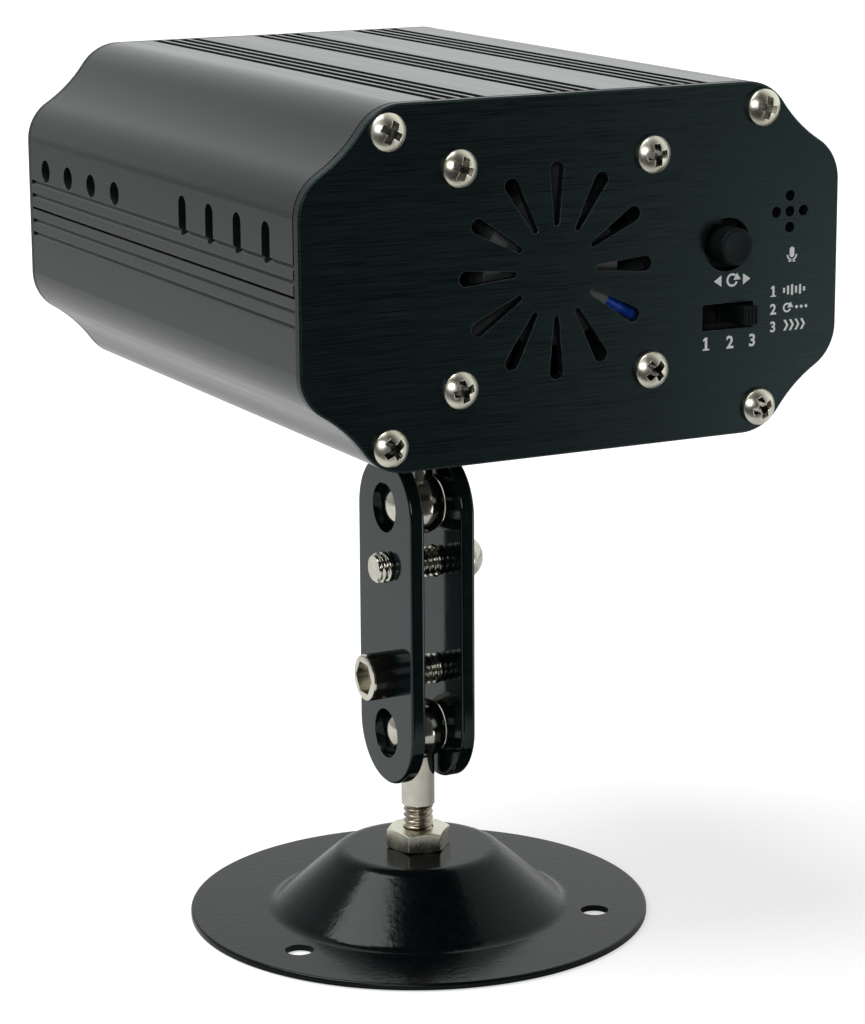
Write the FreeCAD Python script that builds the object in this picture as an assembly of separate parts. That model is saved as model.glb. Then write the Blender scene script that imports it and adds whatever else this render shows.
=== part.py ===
import FreeCAD, Part
import math
import os

V = FreeCAD.Vector

# A small laser show projector: an extruded two-shell housing on a ball-jointed clamp arm with a pressed base.
# Origin under the middle of the base, +Z up, the control panel faces -Y and the lasers shine along +Y.
# Housing pieces are drawn about the housing's own centre and lifted to their height when saved. Millimetres.

# Fits and clearances
running_fit = 0.05
slip_fit = 0.1
thread_fit = 0.05
hole_clearance = 0.2
air_gap = 0.3

# Housing box and its extruded section
housing_width = 90.0
housing_height = 53.0
housing_depth = 106.0
shell_wall = 1.7
panel_thickness = 1.5
panel_edge_chamfer = 0.25
corner_across = 16.4
corner_down = 15.5
top_round = 7.8
side_round = 7.2
sweep_round = 22.4
parting_gap = 0.4
upper_shell_end_gap = 0.4
tongue_thickness = 1.2
tongue_height = 3.0
tongue_root = 3.5

# Fine grooves along the shells
groove_bands = 3
band_pitch = 18.6
grooves_in_band = 4
groove_pitch = 2.3
groove_width = 1.6
groove_depth = 0.6
side_groove_heights = (2.1, 4.3)
side_groove_width = 0.8
side_groove_depth = 0.4

# Side vents of the upper shell
vent_pitch = 10.0
vent_count = 4
vent_height = 6.7
round_vent_diameter = 3.7
round_vent_front_inset = 8.0
slot_vent_width = 2.8
slot_vent_length = 6.0
slot_vent_rear_inset = 11.0

# Panel screws in the shells' corner channels
corner_screw_across = 13.9
corner_screw_down = 3.9
channel_radius = 3.0
screw_shank_radius = 1.4
corner_screw_length = 11.0
screw_head_radius = 2.75
screw_head_height = 1.9
screw_head_edge = 0.6
recess_width = 0.9
recess_span = 3.2
recess_depth = 1.1
corner_screw_turn = 25.0
corner_screw_turn_step = 37.0

# Fan and the grille in front of it
fan_size = 40.0
fan_depth = 10.0
fan_hole_inset = 4.0
fan_corner_round = 3.0
fan_rim = 1.0
fan_right_inset = 28.8
fan_up = 0.8
fan_hub_radius = 11.2
fan_strut_width = 3.6
fan_strut_recess = 0.3
fan_strut_thickness = 3.3
fan_strut_angles = (90.0, 210.0)
fan_tip_gap = 0.6
fan_blade_count = 7
fan_blade_thickness = 0.9
fan_blade_pitch = 38.0
fan_cup_wall = 1.2
fan_shaft_radius = 1.0
fan_bearing_radius = 2.6
fan_tube_radius = 3.6
fan_stator_radius = 8.4
fan_lead_angle = -30.0
fan_lead_offset = -0.25
nut_across_flats = 5.5
nut_height = 2.4
nut_corner_ease = 0.3
nut_face_inset = 0.06
fan_screw_turn = 10.0
fan_screw_turn_step = 53.0
grille_slots = 12
grille_inner_radius = 7.05
grille_margin = 4.15
grille_inner_width = 0.9
grille_outer_width = 2.3
fan_lead_radius = 0.8
fan_lead_pitch = 1.8
fan_lead_seat = 1.0
fan_notch_room = 2.4
lead_radius = 0.5
lead_pitch = 1.5
lead_bend_share = 0.45

# Controls on the rear panel, measured from the panel's right edge and middle line
mode_inset = 19.7
mode_up = 2.5
mode_hole_radius = 4.05
mode_cap_radius = 2.8
mode_cap_stand = 2.9
mode_travel = 1.5
mode_stem_radius = 1.5
mode_switch_size = 8.0
mode_switch_height = 5.0
slide_inset = 19.45
slide_up = -8.3
slide_opening_width = 9.0
slide_opening_height = 4.0
slide_step = 3.05
knob_width = 2.5
knob_height = 2.9
knob_stand = 2.0
knob_flange_width = 4.4
knob_flange_thickness = 1.2
slide_body_height = 6.0
slide_body_depth = 5.6
slide_body_wall = 0.8
mic_inset = 8.7
mic_up = 6.7
mic_radius = 3.0
mic_hole_radius = 0.85
mic_hole_pitch = 2.4
mic_outer_holes = 4
control_board_gap = 7.0
control_board_inset = 4.6
control_board_width = 21.2
control_board_height = 25.0
board_thickness = 1.6
spacer_inset_across = 4.0
spacer_inset_up = 2.8
spacer_radius = 2.5
spacer_stud_radius = 1.5

# Main board in its rails
main_board_above_flat = 1.0
main_board_rear_gap = 8.9
main_board_front_gap = 6.0
rail_thickness = 1.2
rail_reach = 2.5
socket_height = 5.0
socket_depth = 5.0
optics_socket_depth = 4.0
header_pins = 5
header_pin_spacing = 2.54
header_inset = 8.6
header_size = 2.5
header_pin = 0.64
chip_width = 10.0
chip_length = 8.0
chip_height = 1.8
chip_rear_inset = 10.0
capacitor_radius = 3.2
capacitor_height = 7.0
capacitor_inset = 17.0
capacitor_rear_inset = 12.0
capacitor_pitch = 9.0
capacitor_count = 2
fan_socket_inset = 6.0

# Optics: lasers, grating motor and the two geared grating wheels
beam_height = 4.0
optics_front_space = 21.5
block_length = 16.0
block_side_wall = 2.0
block_floor = 4.0
block_leg_width = 6.0
block_screw_length = 10.0
laser_radius = 6.0
laser_length = 30.0
laser_lens_radius = 3.0
laser_lens_depth = 2.0
beam_hole_radius = 5.0
spigot_radius = 6.5
spigot_length = 6.0
motor_radius = 6.0
motor_length = 18.0
motor_front_wall = 3.0
motor_shaft_radius = 1.0
gear_module = 0.5
pinion_teeth = 14
wheel_teeth = 40
gear_backlash = 0.16
gear_pressure_angle = 20.0
gear_tip_modules = 0.9
gear_root_modules = 1.25
gear_flank_points = 5
gear_width = 4.0
wheel_collar_inner = 8.2
wheel_collar_outer = 9.2
wheel_collar_length = 2.7
film_thickness = 0.3
clip_radius = 7.8
clip_groove_radius = 6.0
clip_thickness = 0.8
grub_radius = 1.5
grub_length = 4.0

# Front panel: beam windows and the power inlet
window_radius = 8.0
window_thickness = 2.0
bezel_flange_radius = 10.0
bezel_flange_thickness = 1.0
bezel_wall = 1.2
bezel_lip = 1.2
inlet_inset = 12.0
inlet_up = -6.0
inlet_flange_radius = 5.5
inlet_flange_thickness = 1.5
inlet_barrel_radius = 4.0
inlet_length = 13.5
inlet_bore_radius = 2.75
inlet_bore_depth = 9.5
inlet_pin_radius = 1.0
inlet_nut_flats = 11.0
inlet_nut_height = 2.0
inlet_lead_shift = 4.0

# Stand: base, ball studs, clamp arm
base_radius = 38.0
base_sheet = 1.0
base_edge_round = 0.4
base_hole_radius = 2.3
base_hole_inset = 8.4
base_hole_count = 3
base_hole_turn = 82.6
flange_width = 13.6
dome_rise = 9.8
dome_slope = 41.0
shoulder_bend = 3.0
foot_bend = 2.5
stud_radius = 2.45
thread_pitch = 1.0
thread_depth = 0.5
collar_radius = 2.75
collar_reach = 13.0
ball_radius = 5.2
ball_hole_radius = 4.1
ball_seat_clearance = 0.06
ball_spacing = 38.1
lower_ball_height = 20.3
upper_ball_drop = 18.65
weld_nut_flats = 8.0
weld_nut_height = 4.0
lock_nut_flats = 9.3
lock_nut_height = 3.3
lock_nut_turn = 45.5
arm_width = 19.2
arm_thickness = 2.5
arm_end_reach = 8.4
arm_corner_round = 9.5
arm_edge_round = 0.5
clamp_spacing = 18.2
clamp_radius = 2.5
clamp_end_stand = 2.0
clamp_head_radius = 3.85
clamp_head_height = 6.0
clamp_head_edge = 2.5
cap_head_radius = 3.85
cap_head_height = 4.0
cap_socket_flats = 5.0
cap_socket_depth = 2.8

# Places that follow from the sizes above
half_width = housing_width / 2
half_height = housing_height / 2
rear_face = -housing_depth / 2
front_face = housing_depth / 2
rear_inside = rear_face + panel_thickness
front_inside = front_face - panel_thickness
floor_level = -half_height + shell_wall
side_inside = half_width - shell_wall
corner_screw_x = half_width - corner_screw_across
corner_screw_z = half_height - corner_screw_down
fan_across = half_width - fan_right_inset - fan_size / 2
fan_bore_radius = fan_size / 2 - fan_rim
grille_outer_radius = fan_bore_radius - grille_margin
corners = [(-1, -1), (-1, 1), (1, -1), (1, 1)]
corner_screw_places = [(sx * corner_screw_x, sz * corner_screw_z) for sx, sz in corners]
fan_half_pitch = fan_size / 2 - fan_hole_inset
fan_screw_places = [(fan_across + sx * fan_half_pitch, fan_up + sz * fan_half_pitch) for sx, sz in corners]
fan_rear = rear_inside + fan_depth
strut_face = rear_inside + fan_strut_recess
hub_back = strut_face + fan_strut_thickness
lead_level = strut_face + slip_fit + fan_lead_radius
lead_strut_face = lead_level + fan_lead_radius + slip_fit
lead_start = fan_hub_radius - fan_lead_seat
mode_x = half_width - mode_inset
slide_x = half_width - slide_inset
mic_x = half_width - mic_inset
control_face = rear_inside + control_board_gap
control_back = control_face + board_thickness
control_right = half_width - control_board_inset
control_left = control_right - control_board_width
control_top = control_board_height / 2
spacer_places = [
    (control_left + spacer_inset_across, control_top - spacer_inset_up),
    (control_right - spacer_inset_across, spacer_inset_up - control_top),
]
main_board_level = corner_down - half_height + main_board_above_flat
main_board_top = main_board_level + board_thickness
main_board_rear = control_back + main_board_rear_gap
fan_socket_rear = main_board_rear + fan_socket_inset
fan_lead_lane = fan_across + fan_size / 2 + lead_pitch
pinion_pitch_radius = gear_module * pinion_teeth / 2
wheel_pitch_radius = gear_module * wheel_teeth / 2
beam_x = pinion_pitch_radius + wheel_pitch_radius + running_fit
block_front = front_inside - optics_front_space
block_rear = block_front - block_length
block_half_width = beam_x + laser_radius + block_side_wall
block_bottom = beam_height - laser_radius - block_floor
block_top = beam_height + laser_radius + block_floor / 2
laser_front = block_front - block_floor / 2
laser_rear = laser_front - laser_length
main_board_front = block_rear - main_board_front_gap
motor_front = block_front - motor_front_wall
motor_rear = motor_front - motor_length
wheel_rear = block_front + air_gap
wheel_face = wheel_rear + gear_width
collar_front = wheel_face + wheel_collar_length
inlet_x = half_width - inlet_inset
inlet_rear = front_face - inlet_length
dome_foot_radius = base_radius - flange_width
dome_top_radius = dome_foot_radius - dome_rise / math.tan(math.radians(dome_slope))
base_hole_circle = base_radius - base_hole_inset
dome_top = base_sheet + dome_rise
lower_ball = dome_top + lower_ball_height
upper_ball = lower_ball + ball_spacing
housing_bottom = upper_ball + upper_ball_drop
housing_centre = housing_bottom + half_height
arm_inner_face = math.sqrt((ball_radius + ball_seat_clearance) ** 2 - ball_hole_radius ** 2)
arm_outer_face = arm_inner_face + arm_thickness
arm_middle = (lower_ball + upper_ball) / 2


def box(x0, x1, y0, y1, z0, z1):
    return Part.makeBox(x1 - x0, y1 - y0, z1 - z0, V(x0, y0, z0))


def rod(start, axis, radius, length):
    return Part.makeCylinder(radius, length, V(*start), V(*axis))


def tube(start, axis, outer, inner, length):
    return rod(start, axis, outer, length).cut(rod(start, axis, inner, length))


def placed(shape, start, axis):
    """Carry a shape drawn along +Z from the origin to start, pointing along axis."""
    moved = shape.copy()
    moved.Placement = FreeCAD.Placement(V(*start), FreeCAD.Rotation(V(0, 0, 1), V(*axis)))
    return moved


def turned(steps, start, axis):
    """A body of revolution from (radius, along) steps. A step with two places is an arc by its middle."""
    edges = []
    here = steps[0]
    for step in list(steps[1:]) + [steps[0]]:
        through, there = step if isinstance(step[0], tuple) else (None, step)
        a, b = V(here[0], 0, here[1]), V(there[0], 0, there[1])
        if through:
            edges.append(Part.Arc(a, V(through[0], 0, through[1]), b).toShape())
        elif a.distanceToPoint(b) > 0:
            edges.append(Part.LineSegment(a, b).toShape())
        here = there
    body = Part.Face(Part.Wire(edges)).revolve(V(0, 0, 0), V(0, 0, 1), 360)
    return placed(body, start, axis)


def plate_prism(points, y0, y1):
    """A straight-sided prism from (x, z) points between two depths."""
    ring = [V(x, y0, z) for x, z in points]
    return Part.Face(Part.makePolygon(ring + ring[:1])).extrude(V(0, y1 - y0, 0))


def hexagon(start, axis, flats, length, turn=0.0):
    corner = flats / math.sqrt(3)
    angles = [math.radians(turn + 60 * k) for k in range(6)]
    ring = [V(corner * math.cos(a), corner * math.sin(a), 0) for a in angles]
    bar = Part.Face(Part.makePolygon(ring + ring[:1])).extrude(V(0, 0, length))
    return placed(bar, start, axis)


def hex_nut(start, axis, flats, height, bore, turn=0.0):
    """A nut with both ends of its corners turned to a chamfer."""
    corner = flats / math.sqrt(3)
    ease = nut_corner_ease
    face = flats / 2 - nut_face_inset
    steps = [(bore, 0), (face, 0), (corner, ease), (corner, height - ease), (face, height), (bore, height)]
    return hexagon(start, axis, flats, height, turn).common(turned(steps, start, axis))


def dome(radius, edge, height):
    """The arc step of a ball-shaped cap from its rim up to the axis."""
    rise = height - edge
    ball = (radius ** 2 + rise ** 2) / (2 * rise)
    half = math.asin(radius / ball) / 2
    return ((ball * math.sin(half), height - ball + ball * math.cos(half)), (0, height))


def pan_screw(start, axis, shank, length, head, height, edge, turn):
    """A cross-recessed screw: its shank runs back along the axis and its domed head stands forward."""
    steps = [(0, -length), (shank, -length), (shank, 0), (head, 0), (head, edge), dome(head, edge, height)]
    screw = turned(steps, (0, 0, 0), (0, 0, 1))
    half_span, half_cut = recess_span / 2, recess_width / 2
    cross = box(-half_span, half_span, -half_cut, half_cut, height - recess_depth, height)
    cross = cross.fuse(box(-half_cut, half_cut, -half_span, half_span, height - recess_depth, height))
    cross.rotate(V(0, 0, 0), V(0, 0, 1), turn)
    return placed(screw.cut(cross), start, axis)


def threaded_steps(radius, low, high):
    """Steps up the side of a thread whose ridges lie within radius."""
    count = max(1, int((high - low) / thread_pitch))
    rise = (high - low) / count
    steps = []
    for k in range(count):
        steps.append((radius - thread_depth, low + k * rise))
        steps.append((radius, low + (k + 0.5) * rise))
    steps.append((radius - thread_depth, high))
    return steps


def lead(points, radius):
    """A round wire along straight runs joined by arcs as large as the runs allow."""
    places = [V(*p) for p in points]
    edges = []
    here = places[0]
    for before, corner, after in zip(places, places[1:], places[2:]):
        back, ahead = before - corner, after - corner
        half_turn = (math.pi - back.getAngle(ahead)) / 2
        reach = lead_bend_share * min(back.Length, ahead.Length)
        bend = reach / math.tan(half_turn)
        back.normalize()
        ahead.normalize()
        enter, leave = corner + back * reach, corner + ahead * reach
        bisector = back + ahead
        bisector.normalize()
        middle = corner + bisector * (bend / math.cos(half_turn) - bend)
        edges.append(Part.LineSegment(here, enter).toShape())
        edges.append(Part.Arc(enter, middle, leave).toShape())
        print("lead bend radius", round(bend, 2))
        here = leave
    edges.append(Part.LineSegment(here, places[-1]).toShape())
    path = Part.Wire(edges)
    ring = Part.Wire([Part.makeCircle(radius, places[0], places[1] - places[0])])
    wire = path.makePipeShell([ring], True, False)
    section = math.pi * radius ** 2
    print("lead volume over section times length", round(wire.Volume / (section * path.Length), 4))
    return wire


def outline(inset):
    """The housing's section: flat top and sides, each corner a round, a hollow sweep and a round."""
    top = V(half_width - corner_across, 0, half_height - top_round)
    side = V(half_width - side_round, 0, half_height - corner_down)
    span = side - top
    reach_top, reach_side = top_round + sweep_round, side_round + sweep_round
    along = (reach_top ** 2 - reach_side ** 2 + span.Length ** 2) / (2 * span.Length)
    out = math.sqrt(reach_top ** 2 - along ** 2)
    unit = V(span).normalize()
    sweep = top + unit * along + V(-unit.z, 0, unit.x) * out
    to_top, to_side = (top - sweep).normalize(), (side - sweep).normalize()
    p0 = V(top.x, 0, half_height - inset)
    p1 = top - to_top * (top_round - inset)
    p2 = side - to_side * (side_round - inset)
    p3 = V(half_width - inset, 0, side.z)
    arcs = [
        (top, p0, p1, top_round - inset),
        (sweep, p1, p2, sweep_round + inset),
        (side, p2, p3, side_round - inset),
    ]
    edges = []
    for sx in (-1, 1):
        for sz in (-1, 1):
            for centre, a, b, radius in arcs:
                middle = centre + ((a + b) * 0.5 - centre).normalize() * radius
                flipped = [V(sx * p.x, 0, sz * p.z) for p in (a, middle, b)]
                edges.append(Part.Arc(*flipped).toShape())
        edges.append(Part.LineSegment(V(sx * p3.x, 0, p3.z), V(sx * p3.x, 0, -p3.z)).toShape())
    for sz in (-1, 1):
        edges.append(Part.LineSegment(V(-p0.x, 0, sz * p0.z), V(p0.x, 0, sz * p0.z)).toShape())
    return Part.Wire(Part.__sortEdges__(edges))


def section_prism(inset, y0, y1):
    body = Part.Face(outline(inset)).extrude(V(0, y1 - y0, 0))
    body.translate(V(0, y0, 0))
    return body


def shell_half(y0, y1, sign):
    """One extruded half: wall, corner screw channels and the side grooves beside the parting line."""
    whole = section_prism(0, y0, y1)
    body = whole.cut(section_prism(shell_wall, y0, y1))
    for x, z in corner_screw_places:
        if z * sign > 0:
            body = body.fuse(rod((x, y0, z), (0, 1, 0), channel_radius, y1 - y0).common(whole))
    for x, z in corner_screw_places:
        if z * sign > 0:
            body = body.cut(rod((x, y0, z), (0, 1, 0), screw_shank_radius + thread_fit, y1 - y0))
    low, high = sorted((sign * parting_gap / 2, sign * half_height))
    body = body.common(box(-half_width, half_width, y0, y1, low, high))
    for height in side_groove_heights:
        for side in (-1, 1):
            tip, mouth = half_width - side_groove_depth, half_width + side_groove_depth
            points = [
                (side * tip, sign * height),
                (side * mouth, sign * height - side_groove_width),
                (side * mouth, sign * height + side_groove_width),
            ]
            body = body.cut(plate_prism(points, y0, y1))
    return body


def upper_shell():
    y0, y1 = rear_inside + upper_shell_end_gap, front_inside
    body = shell_half(y0, y1, 1)
    for band in range(groove_bands):
        middle = (band - (groove_bands - 1) / 2) * band_pitch
        for k in range(grooves_in_band):
            x = middle + (k - (grooves_in_band - 1) / 2) * groove_pitch
            half = groove_width / 2
            body = body.cut(box(x - half, x + half, y0, y1, half_height - groove_depth, half_height))
    for k in range(vent_count):
        y = front_face - round_vent_front_inset - k * vent_pitch
        body = body.cut(rod((-half_width, y, vent_height), (1, 0, 0), round_vent_diameter / 2, housing_width))
        body = body.cut(slot_vent(rear_face + slot_vent_rear_inset + k * vent_pitch))
    return body


def slot_vent(y):
    radius = slot_vent_width / 2
    reach = slot_vent_length / 2 - radius
    slot = box(-half_width, half_width, y - radius, y + radius, vent_height - reach, vent_height + reach)
    for end in (-reach, reach):
        slot = slot.fuse(rod((-half_width, y, vent_height + end), (1, 0, 0), radius, housing_width))
    return slot


def lower_shell():
    y0, y1 = rear_inside, front_inside
    body = shell_half(y0, y1, -1)
    for side in (-1, 1):
        inner = side_inside - tongue_thickness
        root = sorted((side * inner, side * side_inside))
        tip = sorted((side * inner, side * (side_inside - slip_fit)))
        body = body.fuse(box(*root, y0, y1, -tongue_root, -parting_gap / 2))
        body = body.fuse(box(*tip, y0, y1, -tongue_root, tongue_height))
        rail = sorted((side * (side_inside - rail_reach), side * side_inside))
        body = body.fuse(box(*rail, y0, y1, main_board_level - rail_thickness, main_board_level))
        ceiling = main_board_top + slip_fit
        body = body.fuse(box(*rail, y0, y1, ceiling, ceiling + rail_thickness))
    body = body.cut(rod((0, 0, -half_height), (0, 0, 1), stud_radius + hole_clearance, shell_wall))
    for x, y in block_screw_places():
        body = body.cut(turned(countersunk_steps(hole_clearance), (x, y, -half_height), (0, 0, 1)))
    return body.removeSplitter()


def rear_panel():
    panel = section_prism(0, rear_face, rear_inside)
    rim = [e for e in panel.Edges if e.BoundBox.YMax < rear_face + running_fit]
    panel = panel.makeChamfer(panel_edge_chamfer, rim)
    cuts = [(x, z, screw_shank_radius + hole_clearance) for x, z in corner_screw_places + fan_screw_places]
    cuts.append((mode_x, mode_up, mode_hole_radius))
    cuts.append((mic_x, mic_up, mic_hole_radius))
    for k in range(mic_outer_holes):
        angle = 2 * math.pi * k / mic_outer_holes
        x, z = mic_x + mic_hole_pitch * math.cos(angle), mic_up + mic_hole_pitch * math.sin(angle)
        cuts.append((x, z, mic_hole_radius))
    for x, z, radius in cuts:
        panel = panel.cut(rod((x, rear_face, z), (0, 1, 0), radius, panel_thickness))
    for k in range(grille_slots):
        panel = panel.cut(grille_slot(math.radians(90 + 360 * k / grille_slots)))
    half, tall = slide_opening_width / 2, slide_opening_height / 2
    opening = box(slide_x - half, slide_x + half, rear_face, rear_inside, slide_up - tall, slide_up + tall)
    return panel.cut(opening)


def grille_slot(angle):
    """A slot that widens outwards, with round ends."""
    out = (math.cos(angle), math.sin(angle))
    ends = [(grille_inner_radius, grille_inner_width / 2), (grille_outer_radius, grille_outer_width / 2)]
    corners = []
    for side in (1, -1):
        for reach, half in ends[::side]:
            x = fan_across + reach * out[0] - side * half * out[1]
            z = fan_up + reach * out[1] + side * half * out[0]
            corners.append((x, z))
    slot = plate_prism(corners, rear_face, rear_inside)
    for reach, half in ends:
        start = (fan_across + reach * out[0], rear_face, fan_up + reach * out[1])
        slot = slot.fuse(rod(start, (0, 1, 0), half, panel_thickness))
    return slot


def front_panel():
    panel = section_prism(0, front_inside, front_face)
    rim = [e for e in panel.Edges if e.BoundBox.YMin > front_face - running_fit]
    panel = panel.makeChamfer(panel_edge_chamfer, rim)
    cuts = [(x, z, screw_shank_radius + hole_clearance) for x, z in corner_screw_places]
    cuts += [(side * beam_x, beam_height, window_radius + bezel_wall + slip_fit) for side in (-1, 1)]
    cuts.append((inlet_x, inlet_up, inlet_barrel_radius + slip_fit))
    for x, z, radius in cuts:
        panel = panel.cut(rod((x, front_inside, z), (0, 1, 0), radius, panel_thickness))
    return panel


def panel_screws(face, outward):
    screws = []
    for k, (x, z) in enumerate(corner_screw_places):
        turn = corner_screw_turn + corner_screw_turn_step * k
        screws.append(
            pan_screw(
                (x, face, z), (0, outward, 0), screw_shank_radius, corner_screw_length,
                screw_head_radius, screw_head_height, screw_head_edge, turn,
            )
        )
    return Part.makeCompound(screws)


def fan_screws():
    length = panel_thickness + fan_depth + nut_height
    screws = []
    for k, (x, z) in enumerate(fan_screw_places):
        turn = fan_screw_turn + fan_screw_turn_step * k
        screws.append(
            pan_screw(
                (x, rear_face, z), (0, -1, 0), screw_shank_radius, length,
                screw_head_radius, screw_head_height, screw_head_edge, turn,
            )
        )
    return Part.makeCompound(screws)


def fan_nuts():
    return small_nuts(fan_screw_places, fan_rear, screw_shank_radius + thread_fit)


def small_nuts(places, level, bore):
    nuts = [hex_nut((x, level, z), (0, 1, 0), nut_across_flats, nut_height, bore) for x, z in places]
    return Part.makeCompound(nuts)


def fan_frame():
    half = fan_size / 2
    frame = box(fan_across - half, fan_across + half, rear_inside, fan_rear, fan_up - half, fan_up + half)
    posts = [e for e in frame.Edges if e.BoundBox.YLength > fan_depth / 2]
    frame = frame.makeFillet(fan_corner_round, posts)
    centre = (fan_across, rear_inside, fan_up)
    frame = frame.cut(rod(centre, (0, 1, 0), fan_bore_radius, fan_depth))
    for x, z in fan_screw_places:
        frame = frame.cut(rod((x, rear_inside, z), (0, 1, 0), screw_shank_radius + hole_clearance, fan_depth))
    half_strut = fan_strut_width / 2
    for angle in fan_strut_angles:
        strut = box(0, fan_bore_radius + air_gap, strut_face, hub_back, -half_strut, half_strut)
        frame = frame.fuse(about_fan(strut, angle))
    hub = (fan_across, strut_face, fan_up)
    frame = frame.fuse(rod(hub, (0, 1, 0), fan_hub_radius, fan_strut_thickness))
    frame = frame.fuse(rod(hub, (0, 1, 0), fan_tube_radius, bearing_end() - strut_face))
    seat = (fan_across, hub_back, fan_up)
    frame = frame.cut(rod(seat, (0, 1, 0), fan_bearing_radius, bearing_end() - hub_back))
    low, high = -2 * fan_lead_pitch, fan_lead_pitch
    notch = box(fan_bore_radius - fan_rim, fan_size, rear_inside, lead_strut_face + fan_notch_room, low, high)
    channel = box(lead_start, fan_size, strut_face, lead_strut_face, low, high)
    lead_strut = box(0, fan_bore_radius + air_gap, lead_strut_face, hub_back, low, high)
    frame = frame.cut(about_fan(notch, fan_lead_angle))
    frame = frame.cut(about_fan(channel, fan_lead_angle))
    return frame.fuse(about_fan(lead_strut, fan_lead_angle)).removeSplitter()


def about_fan(shape, angle):
    """Turn a shape drawn along +X about the fan's axis and set it on that axis."""
    shape.rotate(V(0, 0, 0), V(0, -1, 0), angle)
    shape.translate(V(fan_across, 0, fan_up))
    return shape


def bearing_end():
    """Where the bearing tube stops, short of the rotor's closed end."""
    return fan_rear - air_gap - fan_cup_wall - 2 * air_gap


def fan_bearing():
    start = (fan_across, hub_back, fan_up)
    bore = fan_shaft_radius + running_fit
    return tube(start, (0, 1, 0), fan_bearing_radius, bore, bearing_end() - hub_back)


def fan_stator():
    y0, y1 = hub_back, bearing_end() - air_gap
    return tube((fan_across, y0, fan_up), (0, 1, 0), fan_stator_radius, fan_tube_radius, y1 - y0)


def fan_shaft():
    y0, y1 = hub_back + air_gap, fan_rear - air_gap - fan_cup_wall
    return rod((fan_across, y0, fan_up), (0, 1, 0), fan_shaft_radius, y1 - y0)


def fan_rotor():
    """A cup round the stator with pitched blades."""
    y0, y1 = hub_back + 2 * air_gap, fan_rear - air_gap
    centre = (fan_across, y0, fan_up)
    cup = rod(centre, (0, 1, 0), fan_hub_radius, y1 - y0)
    bore = fan_hub_radius - fan_cup_wall
    cup = cup.cut(rod(centre, (0, 1, 0), bore, y1 - y0 - fan_cup_wall))
    tip = fan_bore_radius - fan_tip_gap
    sweep = tube(centre, (0, 1, 0), tip, bore + fan_cup_wall / 2, y1 - y0)
    chord = (y1 - y0) / math.cos(math.radians(fan_blade_pitch))
    half_thick = fan_blade_thickness / 2
    for k in range(fan_blade_count):
        blade = box(bore, tip + fan_tip_gap, -chord / 2, chord / 2, -half_thick, half_thick)
        blade.rotate(V(0, 0, 0), V(1, 0, 0), fan_blade_pitch)
        blade.rotate(V(0, 0, 0), V(0, -1, 0), 360 * k / fan_blade_count)
        blade.translate(V(fan_across, (y0 + y1) / 2, fan_up))
        cup = cup.fuse(blade.common(sweep))
    return cup.removeSplitter()


def fan_lead(offset):
    """From the fan's hub along the strut, out of the frame's notch and over the main board to a socket."""
    angle = math.radians(fan_lead_angle)
    out, down = V(math.cos(angle), 0, math.sin(angle)), V(math.sin(angle), 0, -math.cos(angle))
    start = V(fan_across, lead_level, fan_up) + out * lead_start + down * offset
    lane = fan_lead_lane + offset
    corner = start + out * ((lane - start.x) / out.x)
    entry = main_board_top + socket_height / 2
    route = [
        tuple(start),
        tuple(corner),
        (lane, fan_rear + fan_lead_pitch, corner.z),
        (lane, main_board_rear - fan_lead_pitch, entry),
        (lane, fan_socket_rear, entry),
    ]
    return lead(route, fan_lead_radius)


def control_board():
    board = box(control_left, control_right, control_face, control_back, -control_top, control_top)
    hole = spacer_stud_radius + slip_fit
    for x, z in spacer_places:
        board = board.cut(rod((x, control_face, z), (0, 1, 0), hole, board_thickness))
    return board


def control_board_spacers():
    spacers = []
    for x, z in spacer_places:
        sleeve = rod((x, rear_inside, z), (0, 1, 0), spacer_radius, control_board_gap)
        stud = rod((x, control_face, z), (0, 1, 0), spacer_stud_radius, board_thickness + nut_height)
        spacers.append(sleeve.fuse(stud))
    return Part.makeCompound(spacers)


def control_board_nuts():
    return small_nuts(spacer_places, control_back, spacer_stud_radius + thread_fit)


def mode_switch():
    half = mode_switch_size / 2
    y0 = control_face - mode_switch_height
    body = box(mode_x - half, mode_x + half, y0, control_face, mode_up - half, mode_up + half)
    bore = mode_stem_radius + running_fit
    return body.cut(rod((mode_x, y0, mode_up), (0, 1, 0), bore, mode_switch_height - air_gap))


def mode_button():
    """The round cap that stands out of the panel, on a stem that dips into the switch."""
    front = rear_face - mode_cap_stand
    switch_front = control_face - mode_switch_height
    cap_back = switch_front - mode_travel - air_gap
    stem_end = control_face - mode_travel - 2 * air_gap
    ease = panel_edge_chamfer
    steps = [
        (0, 0),
        (mode_cap_radius - ease, 0),
        (mode_cap_radius, ease),
        (mode_cap_radius, cap_back - front),
        (mode_stem_radius, cap_back - front),
        (mode_stem_radius, stem_end - front),
        (0, stem_end - front),
    ]
    return turned(steps, (mode_x, front, mode_up), (0, 1, 0))


def knob_x():
    """The knob rests in the third place, at the right end of its travel."""
    return slide_x + slide_step


def slide_switch():
    """A box with a slot in front for the knob's neck and a chamber for its flange."""
    y0, y1 = control_face - slide_body_depth, control_face
    reach = slide_step + knob_flange_width / 2 + slip_fit
    half = reach + slide_body_wall
    half_tall = slide_body_height / 2
    body = box(slide_x - half, slide_x + half, y0, y1, slide_up - half_tall, slide_up + half_tall)
    tall = half_tall - slide_body_wall
    y2 = y0 + slide_body_wall
    y3 = y2 + knob_flange_thickness + 2 * slip_fit
    body = body.cut(box(slide_x - reach, slide_x + reach, y2, y3, slide_up - tall, slide_up + tall))
    slot = slide_step + knob_width / 2 + slip_fit
    slot_tall = knob_height / 2 + slip_fit
    return body.cut(box(slide_x - slot, slide_x + slot, y0, y2, slide_up - slot_tall, slide_up + slot_tall))


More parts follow.
